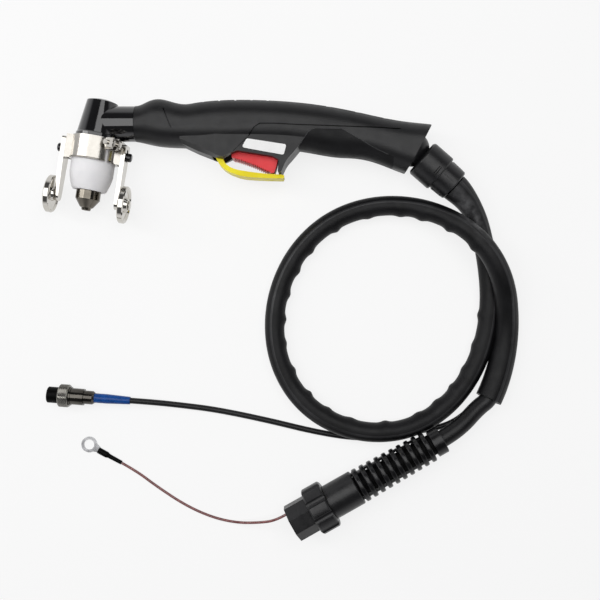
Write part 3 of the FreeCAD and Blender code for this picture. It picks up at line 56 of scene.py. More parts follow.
# Control points of the cables' curves, in millimetres. They start from the part's own routes;
# some points of the sheath and of the control cable are moved by up to 4.3 mm.
SHEATH_ROUTE = [
    (160.0, -20.1, 19.0), (175.0, -33.2, 18.5), (188.0, -70.0, 8.3), (192.2, -116.4, 8.3),
    (182.8, -159.8, 8.3), (159.2, -195.2, 9.0), (123.8, -216.6, 11.0), (80.6, -217.6, 11.2),
    (41.2, -197.4, 9.6), (18.6, -161.6, 8.3), (14.9, -118.1, 8.3), (29.4, -76.9, 8.3),
    (58.5, -46.6, 8.3), (97.2, -32.6, 8.3), (139.0, -36.0, 14.0), (175.3, -56.6, 27.5),
    (198.0, -90.2, 26.5), (205.4, -131.4, 10.2), (197.6, -173.0, 10.8), (188.9, -190.0, 12.8),
]
LEAD_ROUTE = [(189.5, -190.2, 13.8), (180.0, -196.8, 14.8), (167.0, -210.0, 18.6), (155.2, -218.6, 19.5)]
LEAD_INSIDE = (192.0, -182.6, 13.0)  # hidden in the sheath's end
BOOT_RUN = [(144.75, -224.51, 19.5), (120.4, -238.3, 19.5), (83.0, -259.5, 19.5)]
CONTROL_ROUTE = [
    (188.9, -189.9, 4.2), (178.0, -198.5, 2.6), (160.0, -212.5, 2.5), (137.0, -217.0, 2.5),
    (113.0, -222.6, 2.5), (83.0, -223.6, 2.5), (50.0, -218.5, 2.5), (10.0, -208.7, 2.5),
    (-32.0, -200.0, 2.5), (-64.0, -196.0, 2.9), (-85.0, -193.1, 8.6), (-101.3, -191.9, 9.2),
]
PILOT_ROUTE = [
    (30.1, -279.0, 19.5), (18.8, -286.6, 19.2), (2.0, -290.5, 12.0), (-16.0, -292.8, 2.4),
    (-36.0, -288.5, 1.3), (-58.0, -278.5, 1.3), (-82.0, -262.5, 1.3), (-97.0, -251.0, 1.7),
    (-109.4, -243.8, 2.6),
]


# ---------------------------------------------------------------- materials

class Shader:
    """A small helper that builds one Principled material from noise-driven layers."""

    def __init__(self, name):
        self.material = bpy.data.materials.new(name)
        self.material.use_nodes = True
        self.nodes = self.material.node_tree.nodes
        self.links = self.material.node_tree.links
        self.nodes.clear()
        self.out = self.nodes.new("ShaderNodeOutputMaterial")
        self.bsdf = self.nodes.new("ShaderNodeBsdfPrincipled")
        self.links.new(self.bsdf.outputs[0], self.out.inputs[0])
        self.coords = self.nodes.new("ShaderNodeTexCoord").outputs["Object"]

    def mapped(self, scale=(1, 1, 1), turn=(0, 0, 0), shift=(0, 0, 0)):
        """The object's coordinates in a moved, turned and stretched frame."""
        node = self.nodes.new("ShaderNodeMapping")
        node.vector_type = "TEXTURE"
        node.inputs["Location"].default_value = shift
        node.inputs["Rotation"].default_value = turn
        node.inputs["Scale"].default_value = scale
        self.links.new(self.coords, node.inputs["Vector"])
        return node.outputs[0]

    def noise(self, size, detail=3.0, vector=None):
        """Noise with features of about this size in metres."""
        node = self.nodes.new("ShaderNodeTexNoise")
        node.inputs["Scale"].default_value = 1.0 / size
        node.inputs["Detail"].default_value = detail
        node.inputs["Roughness"].default_value = 0.55
        self.links.new(vector or self.coords, node.inputs["Vector"])
        return node.outputs["Fac"]

    def ramp(self, value, low, high, stops=(0.35, 0.65)):
        """A colour that goes from low to high between two stops of the value."""
        node = self.nodes.new("ShaderNodeValToRGB")
        node.color_ramp.elements[0].position = stops[0]
        node.color_ramp.elements[1].position = stops[1]
        node.color_ramp.elements[0].color = (*low, 1)
        node.color_ramp.elements[1].color = (*high, 1)
        self.links.new(value, node.inputs[0])
        return node.outputs[0]

    def span(self, value, low, high, from_low=0.3, from_high=0.7):
        """A number that goes from low to high with the value."""
        node = self.nodes.new("ShaderNodeMapRange")
        node.inputs["From Min"].default_value = from_low
        node.inputs["From Max"].default_value = from_high
        node.inputs["To Min"].default_value = low
        node.inputs["To Max"].default_value = high
        self.links.new(value, node.inputs["Value"])
        return node.outputs[0]

    def bump(self, value, depth):
        """Raises the surface by up to depth metres."""
        node = self.nodes.new("ShaderNodeBump")
        node.inputs["Distance"].default_value = depth
        node.inputs["Strength"].default_value = 1.0
        self.links.new(value, node.inputs["Height"])
        self.links.new(node.outputs[0], self.bsdf.inputs["Normal"])

    def colour(self, value):
        self.links.new(value, self.bsdf.inputs["Base Color"])

    def roughness(self, value):
        self.links.new(value, self.bsdf.inputs["Roughness"])

    def set(self, **sockets):
        """Sets plain values; an underscore stands for a space in a socket's name."""
        for name, value in sockets.items():
            self.bsdf.inputs[name.replace("_", " ")].default_value = value


def plastic(name, dark, light, rough=(0.35, 0.5), grain=0.0004, depth=0.00003, patch=0.02, coat=0.0,
            specular=0.5):
    """A moulded or rubbery surface: patches from dark to light, uneven gloss and a fine grain."""
    shader = Shader(name)
    shader.colour(shader.ramp(shader.noise(patch), dark, light))
    shader.roughness(shader.span(shader.noise(patch * 0.4), *rough))
    shader.bump(shader.noise(grain, detail=2.0), depth)
    shader.set(Specular_IOR_Level=specular, Coat_Weight=coat, Coat_Roughness=0.05)
    return shader.material


def metal(name, dark, light, rough=(0.12, 0.25), grain=0.0006, depth=0.000006, patch=0.012,
          stretch=(1, 1, 1), turn=0.0):
    """A metal whose gloss and grain may run in one direction."""
    shader = Shader(name)
    vector = shader.mapped(scale=stretch, turn=(0, 0, turn))
    shader.colour(shader.ramp(shader.noise(patch), dark, light, (0.3, 0.7)))
    shader.roughness(shader.span(shader.noise(patch * 0.25, vector=vector), *rough))
    shader.bump(shader.noise(grain, detail=2.0, vector=vector), depth)
    shader.set(Metallic=1.0)
    return shader.material


# Painted sheen: a grey oval painted on the cover below the swivel stands in for a highlight.
SHEEN_PLACE, SHEEN_SIZE, SHEEN_TURN = (0.1715, -0.0415, 0.022), (0.032, 0.0095, 0.03), math.radians(-57)
SHEEN_GREY = (0.085, 0.085, 0.088, 1)


def sheath_material():
    """The black cover of the cable, with a painted sheen: a grey oval that stands in for a highlight."""
    shader = Shader("cable_sheath")
    base = shader.ramp(shader.noise(0.02), (0.003, 0.003, 0.0035), (0.007, 0.007, 0.008))
    sheen_oval = shader.nodes.new("ShaderNodeTexGradient")
    sheen_oval.gradient_type = "SPHERICAL"
    place = shader.mapped(scale=SHEEN_SIZE, turn=(0, 0, SHEEN_TURN), shift=SHEEN_PLACE)
    shader.links.new(place, sheen_oval.inputs["Vector"])
    # Painted sheen: the oval's mask, broken up by noise, blends the lighter grey into the black.
    patch = shader.nodes.new("ShaderNodeMath")
    patch.operation = "MULTIPLY"
    shader.links.new(shader.span(sheen_oval.outputs["Fac"], 0.0, 1.0, 0.0, 0.6), patch.inputs[0])
    shader.links.new(shader.span(shader.noise(0.009), 0.25, 1.0, 0.4, 0.6), patch.inputs[1])
    mix = shader.nodes.new("ShaderNodeMix")
    mix.data_type = "RGBA"
    shader.links.new(patch.outputs[0], mix.inputs["Factor"])
    first, second = [socket for socket in mix.inputs if socket.type == "RGBA"]
    shader.links.new(base, first)
    second.default_value = SHEEN_GREY
    shader.colour(next(socket for socket in mix.outputs if socket.type == "RGBA"))
    shader.roughness(shader.span(shader.noise(0.008), 0.4, 0.52))
    shader.bump(shader.noise(0.0012, detail=2.0), 0.00006)
    shader.set(Specular_IOR_Level=0.2)
    return shader.material


HEAD_TURN = math.radians(-98.9)  # the direction of the head's axis, round Z from +X
LOOKS = {
    "black_gloss": plastic("black_gloss", (0.003, 0.003, 0.0035), (0.006, 0.006, 0.007), (0.05, 0.09),
                           grain=0.003, depth=0.00001, coat=0.5),
    "handle_black": plastic("handle_black", (0.004, 0.004, 0.0045), (0.007, 0.007, 0.008), (0.38, 0.48),
                            grain=0.0005, depth=0.00002, specular=0.36),
    "grip_rubber": plastic("grip_rubber", (0.003, 0.003, 0.0035), (0.006, 0.006, 0.007), (0.46, 0.6),
                           grain=0.0009, depth=0.00004, specular=0.2),
    "trigger_red": plastic("trigger_red", (0.78, 0.022, 0.03), (0.88, 0.036, 0.046), (0.3, 0.4),
                           specular=0.3),
    "lever_yellow": plastic("lever_yellow", (0.88, 0.72, 0.008), (0.98, 0.86, 0.02), (0.3, 0.42),
                            specular=0.18),
    "chrome_steel": metal("chrome_steel", (0.52, 0.5, 0.46), (0.62, 0.6, 0.56), (0.06, 0.12)),
    "band_steel": metal("band_steel", (0.36, 0.343, 0.315), (0.43, 0.41, 0.38), (0.16, 0.24),
                        stretch=(1, 1, 0.05), turn=HEAD_TURN),
    "spring_steel": metal("spring_steel", (0.45, 0.44, 0.42), (0.6, 0.59, 0.57), (0.2, 0.35)),
    "dark_steel": metal("dark_steel", (0.03, 0.03, 0.032), (0.06, 0.06, 0.062), (0.2, 0.3)),
    "nickel": metal("nickel", (0.1, 0.09, 0.075), (0.17, 0.155, 0.13), (0.07, 0.13)),
    "copper": metal("copper", (0.6, 0.25, 0.14), (0.75, 0.36, 0.22), (0.15, 0.3)),
    "brass": metal("brass", (0.6, 0.42, 0.16), (0.76, 0.57, 0.26), (0.16, 0.3)),
    "cup_ceramic": plastic("cup_ceramic", (0.86, 0.85, 0.865), (0.9, 0.89, 0.9), (0.42, 0.6),
                           grain=0.0005, depth=0.00003, patch=0.012, specular=0.35),
    "swirl_resin": plastic("swirl_resin", (0.35, 0.1, 0.04), (0.45, 0.14, 0.06)),
    "o_ring_rubber": plastic("o_ring_rubber", (0.25, 0.03, 0.02), (0.32, 0.04, 0.03), (0.4, 0.5)),
    "cable_sheath": sheath_material(),
    # Painted highlight: a lighter black for the faces along the seam's ridge, standing in for the highlight there.
    "seam_highlight": plastic("seam_highlight", (0.012, 0.012, 0.013), (0.03, 0.03, 0.032), (0.36, 0.46),
                           specular=0.35),
    "cable_rubber": plastic("cable_rubber", (0.004, 0.004, 0.0045), (0.008, 0.008, 0.009), (0.34, 0.44),
                            specular=0.3),
    "boot_rubber": plastic("boot_rubber", (0.003, 0.003, 0.0035), (0.006, 0.006, 0.007), (0.22, 0.32),
                           specular=0.36),
    "connector_black": plastic("connector_black", (0.005, 0.005, 0.006), (0.01, 0.01, 0.011), (0.3, 0.42),
                               specular=0.38),
    "switch_body": plastic("switch_body", (0.02, 0.02, 0.022), (0.03, 0.03, 0.033)),
    "switch_red": plastic("switch_red", (0.5, 0.05, 0.03), (0.6, 0.07, 0.05)),
    "plug_metal": metal("plug_metal", (0.06, 0.056, 0.05), (0.1, 0.093, 0.082), (0.08, 0.16)),
    "insulator_black": plastic("insulator_black", (0.002, 0.002, 0.002), (0.003, 0.003, 0.003), (0.3, 0.42),
                               specular=0.05),
    "sleeve_blue": plastic("sleeve_blue", (0.003, 0.045, 0.21), (0.006, 0.07, 0.3), (0.28, 0.38),
                           patch=0.006, specular=0.25),
    "wire_clear": plastic("wire_clear", (0.12, 0.028, 0.028), (0.27, 0.09, 0.085), (0.15, 0.25), coat=0.4,
                          patch=0.002),
    "plug_steel": metal("plug_steel", (0.16, 0.155, 0.14), (0.24, 0.23, 0.21), (0.14, 0.24)),
    "tin_plate": metal("tin_plate", (0.2, 0.2, 0.205), (0.4, 0.4, 0.41), (0.14, 0.22), patch=0.005),
    # Painted shade: a near-black, dull look that stands in for shade in gaps and slots.
    "shade_black": plastic("shade_black", (0.002, 0.002, 0.002), (0.003, 0.003, 0.0035), (0.55, 0.7),
                         specular=0.08),
    "edge_black": plastic("edge_black", (0.014, 0.014, 0.015), (0.026, 0.026, 0.028), (0.3, 0.42)),
    "plate_white": plastic("plate_white", (0.86, 0.86, 0.855), (0.9, 0.9, 0.89), (0.25, 0.35), patch=0.01,
                           grain=0.001, depth=0.000005),
}


def dress(obj, material):
    """Puts one material on an object."""
    obj.data.materials.clear()
    obj.data.materials.append(material)


# Every CAD piece takes the look of its slot.
for part in frame["record"]["subparts"]:
    for place in NODES[part["node"]].material_slots:
        place.material = LOOKS[part["material_slot"]]


# ---------------------------------------------------------------- cables

def nurbs(name, route, radius=0.0):
    """A smooth curve with the route's points as its control points."""
    data = bpy.data.curves.new(name, "CURVE")
    data.dimensions = "3D"
    data.resolution_u = 24
    data.bevel_depth = radius
    data.bevel_resolution = 8
    data.use_fill_caps = radius > 0
    spline = data.splines.new("NURBS")
    spline.points.add(len(route) - 1)
    for point, place in zip(spline.points, route):
        point.co = (*[c * MM for c in place], 1.0)
    spline.use_endpoint_u = True
    spline.order_u = 3
    obj = bpy.data.objects.new(name, data)
    bpy.context.collection.objects.link(obj)
    return obj


def cable(name, route, radius, node, look):
    """A plain round cable that stands for one CAD piece."""
    obj = nurbs(name, route, radius)
    obj.data.materials.append(LOOKS[look])
    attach(obj, "lead")
    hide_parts(node)
    return obj


def line_of(route):
    """The smooth curve's own line, as evenly spaced points."""
    obj = nurbs("line", route)
    graph = bpy.context.evaluated_depsgraph_get()
    graph.update()
    mesh = obj.evaluated_get(graph).to_mesh()
    places = [v.co.copy() for v in mesh.vertices]
    obj.evaluated_get(graph).to_mesh_clear()
    data = obj.data
    bpy.data.objects.remove(obj)
    bpy.data.curves.remove(data)
    reach = [0.0]
    for before, after in zip(places, places[1:]):
        reach.append(reach[-1] + (after - before).length)
    return places, reach


def spaced(places, reach, step):
    """Points every step along a line of places."""
    count = max(2, round(reach[-1] / step) + 1)
    result, at = [], 0
    for i in range(count):
        want = reach[-1] * i / (count - 1)
        while at < len(reach) - 2 and reach[at + 1] < want:
            at += 1
        share = (want - reach[at]) / max(reach[at + 1] - reach[at], 1e-12)
        result.append(places[at].lerp(places[at + 1], min(max(share, 0.0), 1.0)))
    return result


def mesh_object(name, verts, faces, smooth=True):
    """A new mesh piece."""
    mesh = bpy.data.meshes.new(name)
    mesh.from_pydata([tuple(v) for v in verts], [], faces)
    mesh.polygons.foreach_set("use_smooth", [smooth] * len(mesh.polygons))
    mesh.update()
    obj = bpy.data.objects.new(name, mesh)
    bpy.context.collection.objects.link(obj)
    return obj


def tidy_mesh(obj, angle=32):
    """Outward faces, and shading that breaks at real edges."""
    work = bmesh.new()
    work.from_mesh(obj.data)
    bmesh.ops.remove_doubles(work, verts=work.verts, dist=1e-7)
    bmesh.ops.recalc_face_normals(work, faces=work.faces)
    for edge in work.edges:
        if len(edge.link_faces) == 2:
            edge.smooth = edge.calc_face_angle() < math.radians(angle)
    work.to_mesh(obj.data)
    work.free()


END_RINGS = 60  # rings at each end that don't count for the middle of the loop


def hose(name, centres, radius_at, angles):
    """A tube of rings round the centres of a loop, with a straighter stretch at each end.
    radius_at(distance, angle) gives its radius; angle 0 is the inside of the bend."""
    verts, faces, travelled, sides = [], [], 0.0, len(angles)
    loop = centres[END_RINGS:-END_RINGS]
    middle = sum(loop, Vector()) / len(loop)
    for i, centre in enumerate(centres):
        before, after = centres[max(i - 1, 0)], centres[min(i + 1, len(centres) - 1)]
        ahead = (after - before).normalized()
        inward = middle - centre
        inward.z = 0.0
        inward = (inward - ahead * inward.dot(ahead)).normalized()
        up = ahead.cross(inward)
        if i:
            travelled += (centre - centres[i - 1]).length
        for angle in angles:
            reach = radius_at(travelled, angle)
            verts.append(centre + (inward * math.cos(angle) + up * math.sin(angle)) * reach)
    for i in range(len(centres) - 1):
        for k in range(sides):
            n = (k + 1) % sides
            faces.append((i * sides + k, i * sides + n, (i + 1) * sides + n, (i + 1) * sides + k))
    faces.append(tuple(range(sides - 1, -1, -1)))
    faces.append(tuple((len(centres) - 1) * sides + k for k in range(sides)))
    return mesh_object(name, verts, faces)


SHEATH_RADIUS = 8.2 * MM
SHEATH_SIDES = 40
SEAM_ANGLE, SEAM_HALF, SEAM_SPREAD, SEAM_HEIGHT = -1.95, 0.12, 0.14, 0.4 * MM
FOLDS_START, FOLDS_STOP = 0.112, 0.13  # metres from each end of the cover
FOLD_HEIGHTS, FOLD_WIDTHS = (1.0, 1.9), (3.4, 5.0)  # millimetres
FOLD_GAPS = (0.018, 0.031)  # metres
FOLD_SPREAD, FOLD_REACH = 0.75, 3.2  # radians round the cover, and widths to each side
PRESSED_IN = 0.5 * MM  # how far the inside of the bend is drawn in
FLARE_IN, FLARE_IN_LENGTH = 3.4 * MM, 17 * MM
FLARE_OUT, FLARE_OUT_LENGTH = 2.7 * MM, 85 * MM
rng = random.Random(7)


def sheath_angles():
    """Even steps round the cover, with closer ones at its seam."""
    even = [2 * math.pi * k / SHEATH_SIDES - math.pi for k in range(SHEATH_SIDES)]
    close = [SEAM_ANGLE + SEAM_HALF * k for k in (-2, -1, 0, 1, 2)]
    return sorted([a for a in even if abs(a - SEAM_ANGLE) > SEAM_HALF * 2.2] + close)


def sheath_folds(total):
    """Where the cover buckles along the inside of the loop: (place, height, width)."""
    folds, place = [], FOLDS_START
    while place < total - FOLDS_STOP:
        folds.append((place, rng.uniform(*FOLD_HEIGHTS) * MM, rng.uniform(*FOLD_WIDTHS) * MM))
        place += rng.uniform(*FOLD_GAPS)
    return folds


def sheath_radius(total):
    """The cover's radius: flared at both ends, buckled inside the loop, with a raised seam."""
    folds = sheath_folds(total)

    def radius_at(distance, angle):
        reach = SHEATH_RADIUS
        inner = math.exp(-(angle / FOLD_SPREAD) ** 2)
        for place, height, width in folds:
            apart = (distance - place) / width
            if abs(apart) < FOLD_REACH:
                reach += height * inner * math.exp(-apart * apart)
        reach -= PRESSED_IN * inner
        flare_in = math.exp(-(distance / FLARE_IN_LENGTH) ** 1.6)
        flare_out = math.exp(-((total - distance) / FLARE_OUT_LENGTH) ** 2)
        reach += FLARE_IN * flare_in + FLARE_OUT * flare_out
        seam = math.exp(-((angle - SEAM_ANGLE) / SEAM_SPREAD) ** 2)
        return reach + SEAM_HEIGHT * seam * (1.0 - flare_out)

    return radius_at


sheath_line, sheath_reach = line_of(SHEATH_ROUTE)
sheath_centres = spaced(sheath_line, sheath_reach, 1.0 * MM)
SHEATH_ANGLES = sheath_angles()
sheath = hose("sheath_hose", sheath_centres, sheath_radius(sheath_reach[-1]), SHEATH_ANGLES)
dress(sheath, LOOKS["cable_sheath"])
sheath.data.materials.append(LOOKS["seam_highlight"])
# Painted highlight: the faces on each side of the seam's crest take a lighter look, which stands in for the
# highlight along the seam.
for face in sheath.data.polygons:
    along = face.index // len(SHEATH_ANGLES)
    start = SHEATH_ANGLES[face.index % len(SHEATH_ANGLES)]
    on_seam = SEAM_ANGLE - SEAM_HALF * 1.1 <= start < SEAM_ANGLE + SEAM_HALF * 0.9
    if on_seam and along < len(sheath_centres) - 1:
        face.material_index = 1
tidy_mesh(sheath)
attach(sheath, "lead")
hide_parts("sheathed_cable")
lead = cable("lead_cable", [LEAD_INSIDE] + LEAD_ROUTE + BOOT_RUN, 7.0 * MM, "bare_cable", "cable_rubber")
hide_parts("cable_in_boot")
control = cable("control_lead", CONTROL_ROUTE, 2.4 * MM, "control_cable", "cable_rubber")
pilot = cable("pilot_lead", PILOT_ROUTE, 1.1 * MM, "pilot_wire", "wire_clear")

# ---------------------------------------------------------------- fine pieces

def frame_of(place, ahead):
    """Maps (along, across, up) to the row frame."""
    ahead = Vector(ahead).normalized()
    across = Vector((0, 0, 1)).cross(ahead).normalized()
    lift = ahead.cross(across)
    return lambda x, y, z: Vector(place) + ahead * x + across * y + lift * z


def from_joint(name, along):
    """The frame that lies so many millimetres back along a turning joint's axis, and the axis."""
    ahead = Vector(JOINTS[name]["axis"]).normalized()
    return frame_of(Vector(JOINTS[name]["pos_m"]) - ahead * along * MM, ahead), ahead


def lathe(name, at, profile, look, body, node=None, sides=72, radius_at=None):
    """A closed turned piece from a closed profile of (along, radius) in millimetres."""
    verts, faces, count = [], [], len(profile)
    for k in range(sides):
        angle = 2 * math.pi * k / sides
        for along, radius in profile:
            reach = radius_at(along, radius, angle) if radius_at else radius
            verts.append(at(along * MM, math.cos(angle) * reach * MM, math.sin(angle) * reach * MM))
    for k in range(sides):
        n = (k + 1) % sides
        for i in range(count):
            j = (i + 1) % count
            faces.append((k * count + i, n * count + i, n * count + j, k * count + j))
    obj = mesh_object(name, verts, faces)
    tidy_mesh(obj)
    dress(obj, LOOKS[look])
    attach(obj, body)
    if node:
        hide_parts(node)
    return obj


def prism(name, corners, low, high, look, body, inset=0.18):
    """A flat plate with a broken upper edge; corners in millimetres, counter-clockwise."""
    middle = sum((Vector((*c, 0)) for c in corners), Vector()) / len(corners)
    verts = []
    for height, shrink in ((low, 0.0), (high - inset, 0.0), (high, inset)):
        for x, y in corners:
            inward = (middle - Vector((x, y, 0))).normalized() * shrink
            verts.append(((x + inward.x) * MM, (y + inward.y) * MM, height * MM))
    count, faces = len(corners), []
    for base in (0, count):
        for i in range(count):
            j = (i + 1) % count
            faces.append((base + i, base + j, base + count + j, base + count + i))
    faces.append(tuple(range(count - 1, -1, -1)))
    faces.append(tuple(2 * count + i for i in range(count)))
    obj = mesh_object(name, verts, faces)
    tidy_mesh(obj)
    dress(obj, LOOKS[look])
    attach(obj, body)
    return obj


def rounded(corners, radius, steps=6):
    """The corners of an outline, each replaced by an arc."""
    result, count = [], len(corners)
    for i in range(count):
        here = Vector(corners[i])
        to_last = (Vector(corners[i - 1]) - here).normalized()
        to_next = (Vector(corners[(i + 1) % count]) - here).normalized()
        half = to_last.angle(to_next) / 2
        centre = here + (to_last + to_next).normalized() * (radius / math.sin(half))
        start = here + to_last * (radius / math.tan(half)) - centre
        end = here + to_next * (radius / math.tan(half)) - centre
        for k in range(steps + 1):
            blend = start.lerp(end, k / steps).normalized() * radius
            result.append(tuple(centre + blend))
    return result


# The plain white plate on the flat side of the trigger housing, in millimetres.
SIDE_Z = 36.0
BADGE = [(-8.9, 8.9), (24.1, 3.0), (26.3, 11.2), (-4.7, 15.9)]
prism("name_plate", rounded(BADGE, 1.6), SIDE_Z - 0.1, SIDE_Z + 0.5, "plate_white", "torch")

DRAPE_FROM, DRAPE_LOWEST = 0.08, 0.012  # metres: where its rays start, and the lowest hit kept


def draped(name, corners, look, body, radius=0.3, step=1.2):
    """A thin bead that lies along the surface under a line of corners."""
    graph = bpy.context.evaluated_depsgraph_get()
    graph.update()
    spots = []
    for start, end in zip(corners, corners[1:]):
        start, end = Vector(start), Vector(end)
        count = max(1, round((end - start).length / step))
        spots += [start.lerp(end, k / count) for k in range(count)]
    spots.append(Vector(corners[-1]))
    places = []
    for spot in spots:
        above = (spot.x * MM, spot.y * MM, DRAPE_FROM)
        found, place = bpy.context.scene.ray_cast(graph, above, (0, 0, -1))[:2]
        if found and place.z > DRAPE_LOWEST:
            places.append(place)
    data = bpy.data.curves.new(name, "CURVE")
    data.dimensions = "3D"
    data.bevel_depth = radius * MM
    data.bevel_resolution = 2
    spline = data.splines.new("POLY")
    spline.points.add(len(places) - 1)
    for point, place in zip(spline.points, places):
        point.co = (*place, 1.0)
    obj = bpy.data.objects.new(name, data)
    bpy.context.collection.objects.link(obj)
    obj.data.materials.append(LOOKS[look])
    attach(obj, body)
    return obj


# The moulded edge that runs along the palm side of the handle.
PALM_EDGE = [
    (36.2, 11.2), (43.0, 20.5), (46.3, 22.8), (48.9, 23.4), (69.5, 23.4), (74.3, 20.5), (95.2, 8.6),
    (106.0, 3.6),
]
draped("palm_edge", PALM_EDGE, "edge_black", "torch", 0.28)

# Painted shade: two short dark beads side by side across the swivel's sleeve stand in for the shade inside its two
# slots.
SLEEVE_AHEAD, SLEEVE_ACROSS = Vector((0.755, -0.656)), Vector((0.656, 0.755))
MARK_MIDDLE, MARK_HALF, MARK_OFFSET = Vector((144.6, -8.65)), 3.6, 0.8
for offset in (-MARK_OFFSET, MARK_OFFSET):
    middle = MARK_MIDDLE + SLEEVE_AHEAD * offset
    ends = [tuple(middle + SLEEVE_ACROSS * reach) for reach in (-MARK_HALF, MARK_HALF)]
    draped("sleeve_slot_shade", ends, "shade_black", "lead", 0.3)

# The strain relief: ribs on a thin tube. Straps fill each gap at both sides, and every second
# gap keeps a small hole on one side. Sizes are millimetres along or from the connector's axis.
CONNECTOR_AT, CONNECTOR_AHEAD = from_joint("hand_nut_turn", 116.9)
BOOT_START, RIB_FIRST, RIB_PITCH, RIB_WIDTH, RIBS = 5.4, 17.0, 6.75, 4.1, 10
RIB_REACH, RIB_GROWTH = 12.7, 1.3
COLLAR_REACH, COLLAR_LENGTH = 11.25, 8.6
CABLE_BORE, BOOT_CORE, SHADED_GAP_REACH = 7.3, 8.5, 9.6
BODY_START = RIB_FIRST + RIB_PITCH * RIBS - 1.1
RIB_SHOULDER = [(0.05, 1.0), (0.35, 0.4), (0.8, 0.08), (1.3, 0.0)]  # (from the side, below the crest)


def boot_profile():
    """A plain collar, then ten round-shouldered ribs that grow towards the connector."""
    outer = [(BOOT_START, CABLE_BORE), (BOOT_START, COLLAR_REACH - 0.35), (BOOT_START + 0.4, COLLAR_REACH),
             (BOOT_START + COLLAR_LENGTH, COLLAR_REACH), (BOOT_START + COLLAR_LENGTH + 0.8, BOOT_CORE)]
    for i in range(RIBS):
        left, reach = RIB_FIRST + RIB_PITCH * i, RIB_REACH + RIB_GROWTH * i / (RIBS - 1)
        right = left + RIB_WIDTH
        outer.append((left, BOOT_CORE))
        outer += [(left + inset, reach - drop) for inset, drop in RIB_SHOULDER]
        outer += [(right - inset, reach - drop) for inset, drop in reversed(RIB_SHOULDER)]
        outer.append((right, BOOT_CORE))
        if i < RIBS - 1:
            outer += [(right + 0.05, BOOT_CORE), (left + RIB_PITCH - 0.05, BOOT_CORE)]
    return outer + [(BODY_START + 0.5, BOOT_CORE), (BODY_START + 0.5, CABLE_BORE)]


boot = lathe("ribbed_boot", CONNECTOR_AT, boot_profile(), "boot_rubber", "lead", "strain_boot", sides=64)
boot.data.materials.append(LOOKS["shade_black"])
# Painted shade: the tube between the ribs takes a near-black, dull look, which stands in for the shade between the
# ribs.
for face in boot.data.polygons:
    away = face.center - CONNECTOR_AT(0, 0, 0)
    if (away - CONNECTOR_AHEAD * away.dot(CONNECTOR_AHEAD)).length < SHADED_GAP_REACH * MM:
        face.material_index = 1


def strap(name, at, start, end, low, high, turn, half):
    """A short curved bridge between two ribs, turn and half in degrees."""
    verts, faces, steps = [], [], 6
    for k in range(steps + 1):
        angle = math.radians(turn - half + 2 * half * k / steps)
        for along, reach in ((start, low), (end, low), (end, high), (start, high)):
            verts.append(at(along * MM, math.cos(angle) * reach * MM, math.sin(angle) * reach * MM))
    for k in range(steps):
        for i in range(4):
            j = (i + 1) % 4
            faces.append((k * 4 + i, k * 4 + j, (k + 1) * 4 + j, (k + 1) * 4 + i))
    faces += [(3, 2, 1, 0), tuple(steps * 4 + i for i in range(4))]
    obj = mesh_object(name, verts, faces, smooth=False)
    tidy_mesh(obj)
    return obj


STRAP_FOOT, STRAP_REACH, STRAP_GROWTH, STRAP_HALF, STRAP_OVERLAP = 8.2, 10.4, 0.12, 26, 0.3
BRIDGE_FOOT, BRIDGE_HALF = 10.1, 14
straps = []
for gap in range(RIBS):
    left = RIB_FIRST + RIB_PITCH * gap + RIB_WIDTH - STRAP_OVERLAP
    right = min(left + RIB_PITCH - RIB_WIDTH + 2 * STRAP_OVERLAP, BODY_START + STRAP_OVERLAP)
    reach = STRAP_REACH + STRAP_GROWTH * gap
    straps.append(strap("strap", CONNECTOR_AT, left, right, STRAP_FOOT, reach, 0, STRAP_HALF))
    stop = right
    if gap % 2:
        straps.append(strap("strap", CONNECTOR_AT, left, right, BRIDGE_FOOT, reach + 0.9, 180, BRIDGE_HALF))
        stop = (left + right) / 2
    straps.append(strap("strap", CONNECTOR_AT, left, stop, STRAP_FOOT, reach, 180, STRAP_HALF))


def merged(name, items, look, body):
    """Joins several small meshes into one piece."""
    verts, faces = [], []
    for item in items:
        base = len(verts)
        verts += [v.co.copy() for v in item.data.vertices]
        faces += [tuple(base + v for v in face.vertices) for face in item.data.polygons]
        data = item.data
        bpy.data.objects.remove(item)
        bpy.data.meshes.remove(data)
    obj = mesh_object(name, verts, faces, smooth=False)
    tidy_mesh(obj)
    dress(obj, LOOKS[look])
    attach(obj, body)
    return obj


boot_straps = merged("boot_straps", straps, "boot_rubber", "lead")

# The connector's body: a sleeve, then the thinner neck that the hand nut turns on.
BODY_REACH, NECK_START, NECK_END, NECK_REACH, NECK_BORE = 14.1, 108.6, 125.2, 12.5, 10.7
body_piece = lathe("connector_sleeve", CONNECTOR_AT, [
    (BODY_START, CABLE_BORE), (BODY_START, BODY_REACH - 0.7), (BODY_START + 0.7, BODY_REACH),
    (NECK_START - 3.0, BODY_REACH), (NECK_START, BODY_REACH), (NECK_START, NECK_REACH),
    (NECK_END, NECK_REACH), (NECK_END, NECK_BORE), (NECK_START + 2.0, NECK_BORE),
    (NECK_START + 2.0, CABLE_BORE),
], "connector_black", "lead", "connector_body", sides=72)

# The small plug's coupling ring, cross-knurled.
PLUG_AT = from_joint("coupling_ring_turn", 13.6)[0]
RING_START, RING_END, RING_BORE, RING_REACH = 9.4, 17.8, 6.3, 9.2
KNURL_DEPTH, KNURL_COUNT, KNURL_LEAN, KNURL_STEP = 0.28, 48, 4.2, 0.35


def knurl(along, radius, angle):
    """The ring's radius, cut by slanting grooves where it is widest."""
    if radius < RING_REACH - 0.05:
        return radius
    return radius - KNURL_DEPTH * (0.5 + 0.5 * math.cos(angle * KNURL_COUNT + along * KNURL_LEAN))


ring_steps = [(RING_START + 0.7 + KNURL_STEP * k, RING_REACH) for k in range(20)]
coupling = lathe("coupling_knurl", PLUG_AT, [
    (RING_START, RING_BORE), (RING_START, 8.5), (RING_START + 0.5, 8.9), *ring_steps,
    (RING_END - 0.5, 8.9), (RING_END, 8.5), (RING_END, RING_BORE),
], "plug_steel", "coupling_ring", "coupling_ring", sides=288, radius_at=knurl)


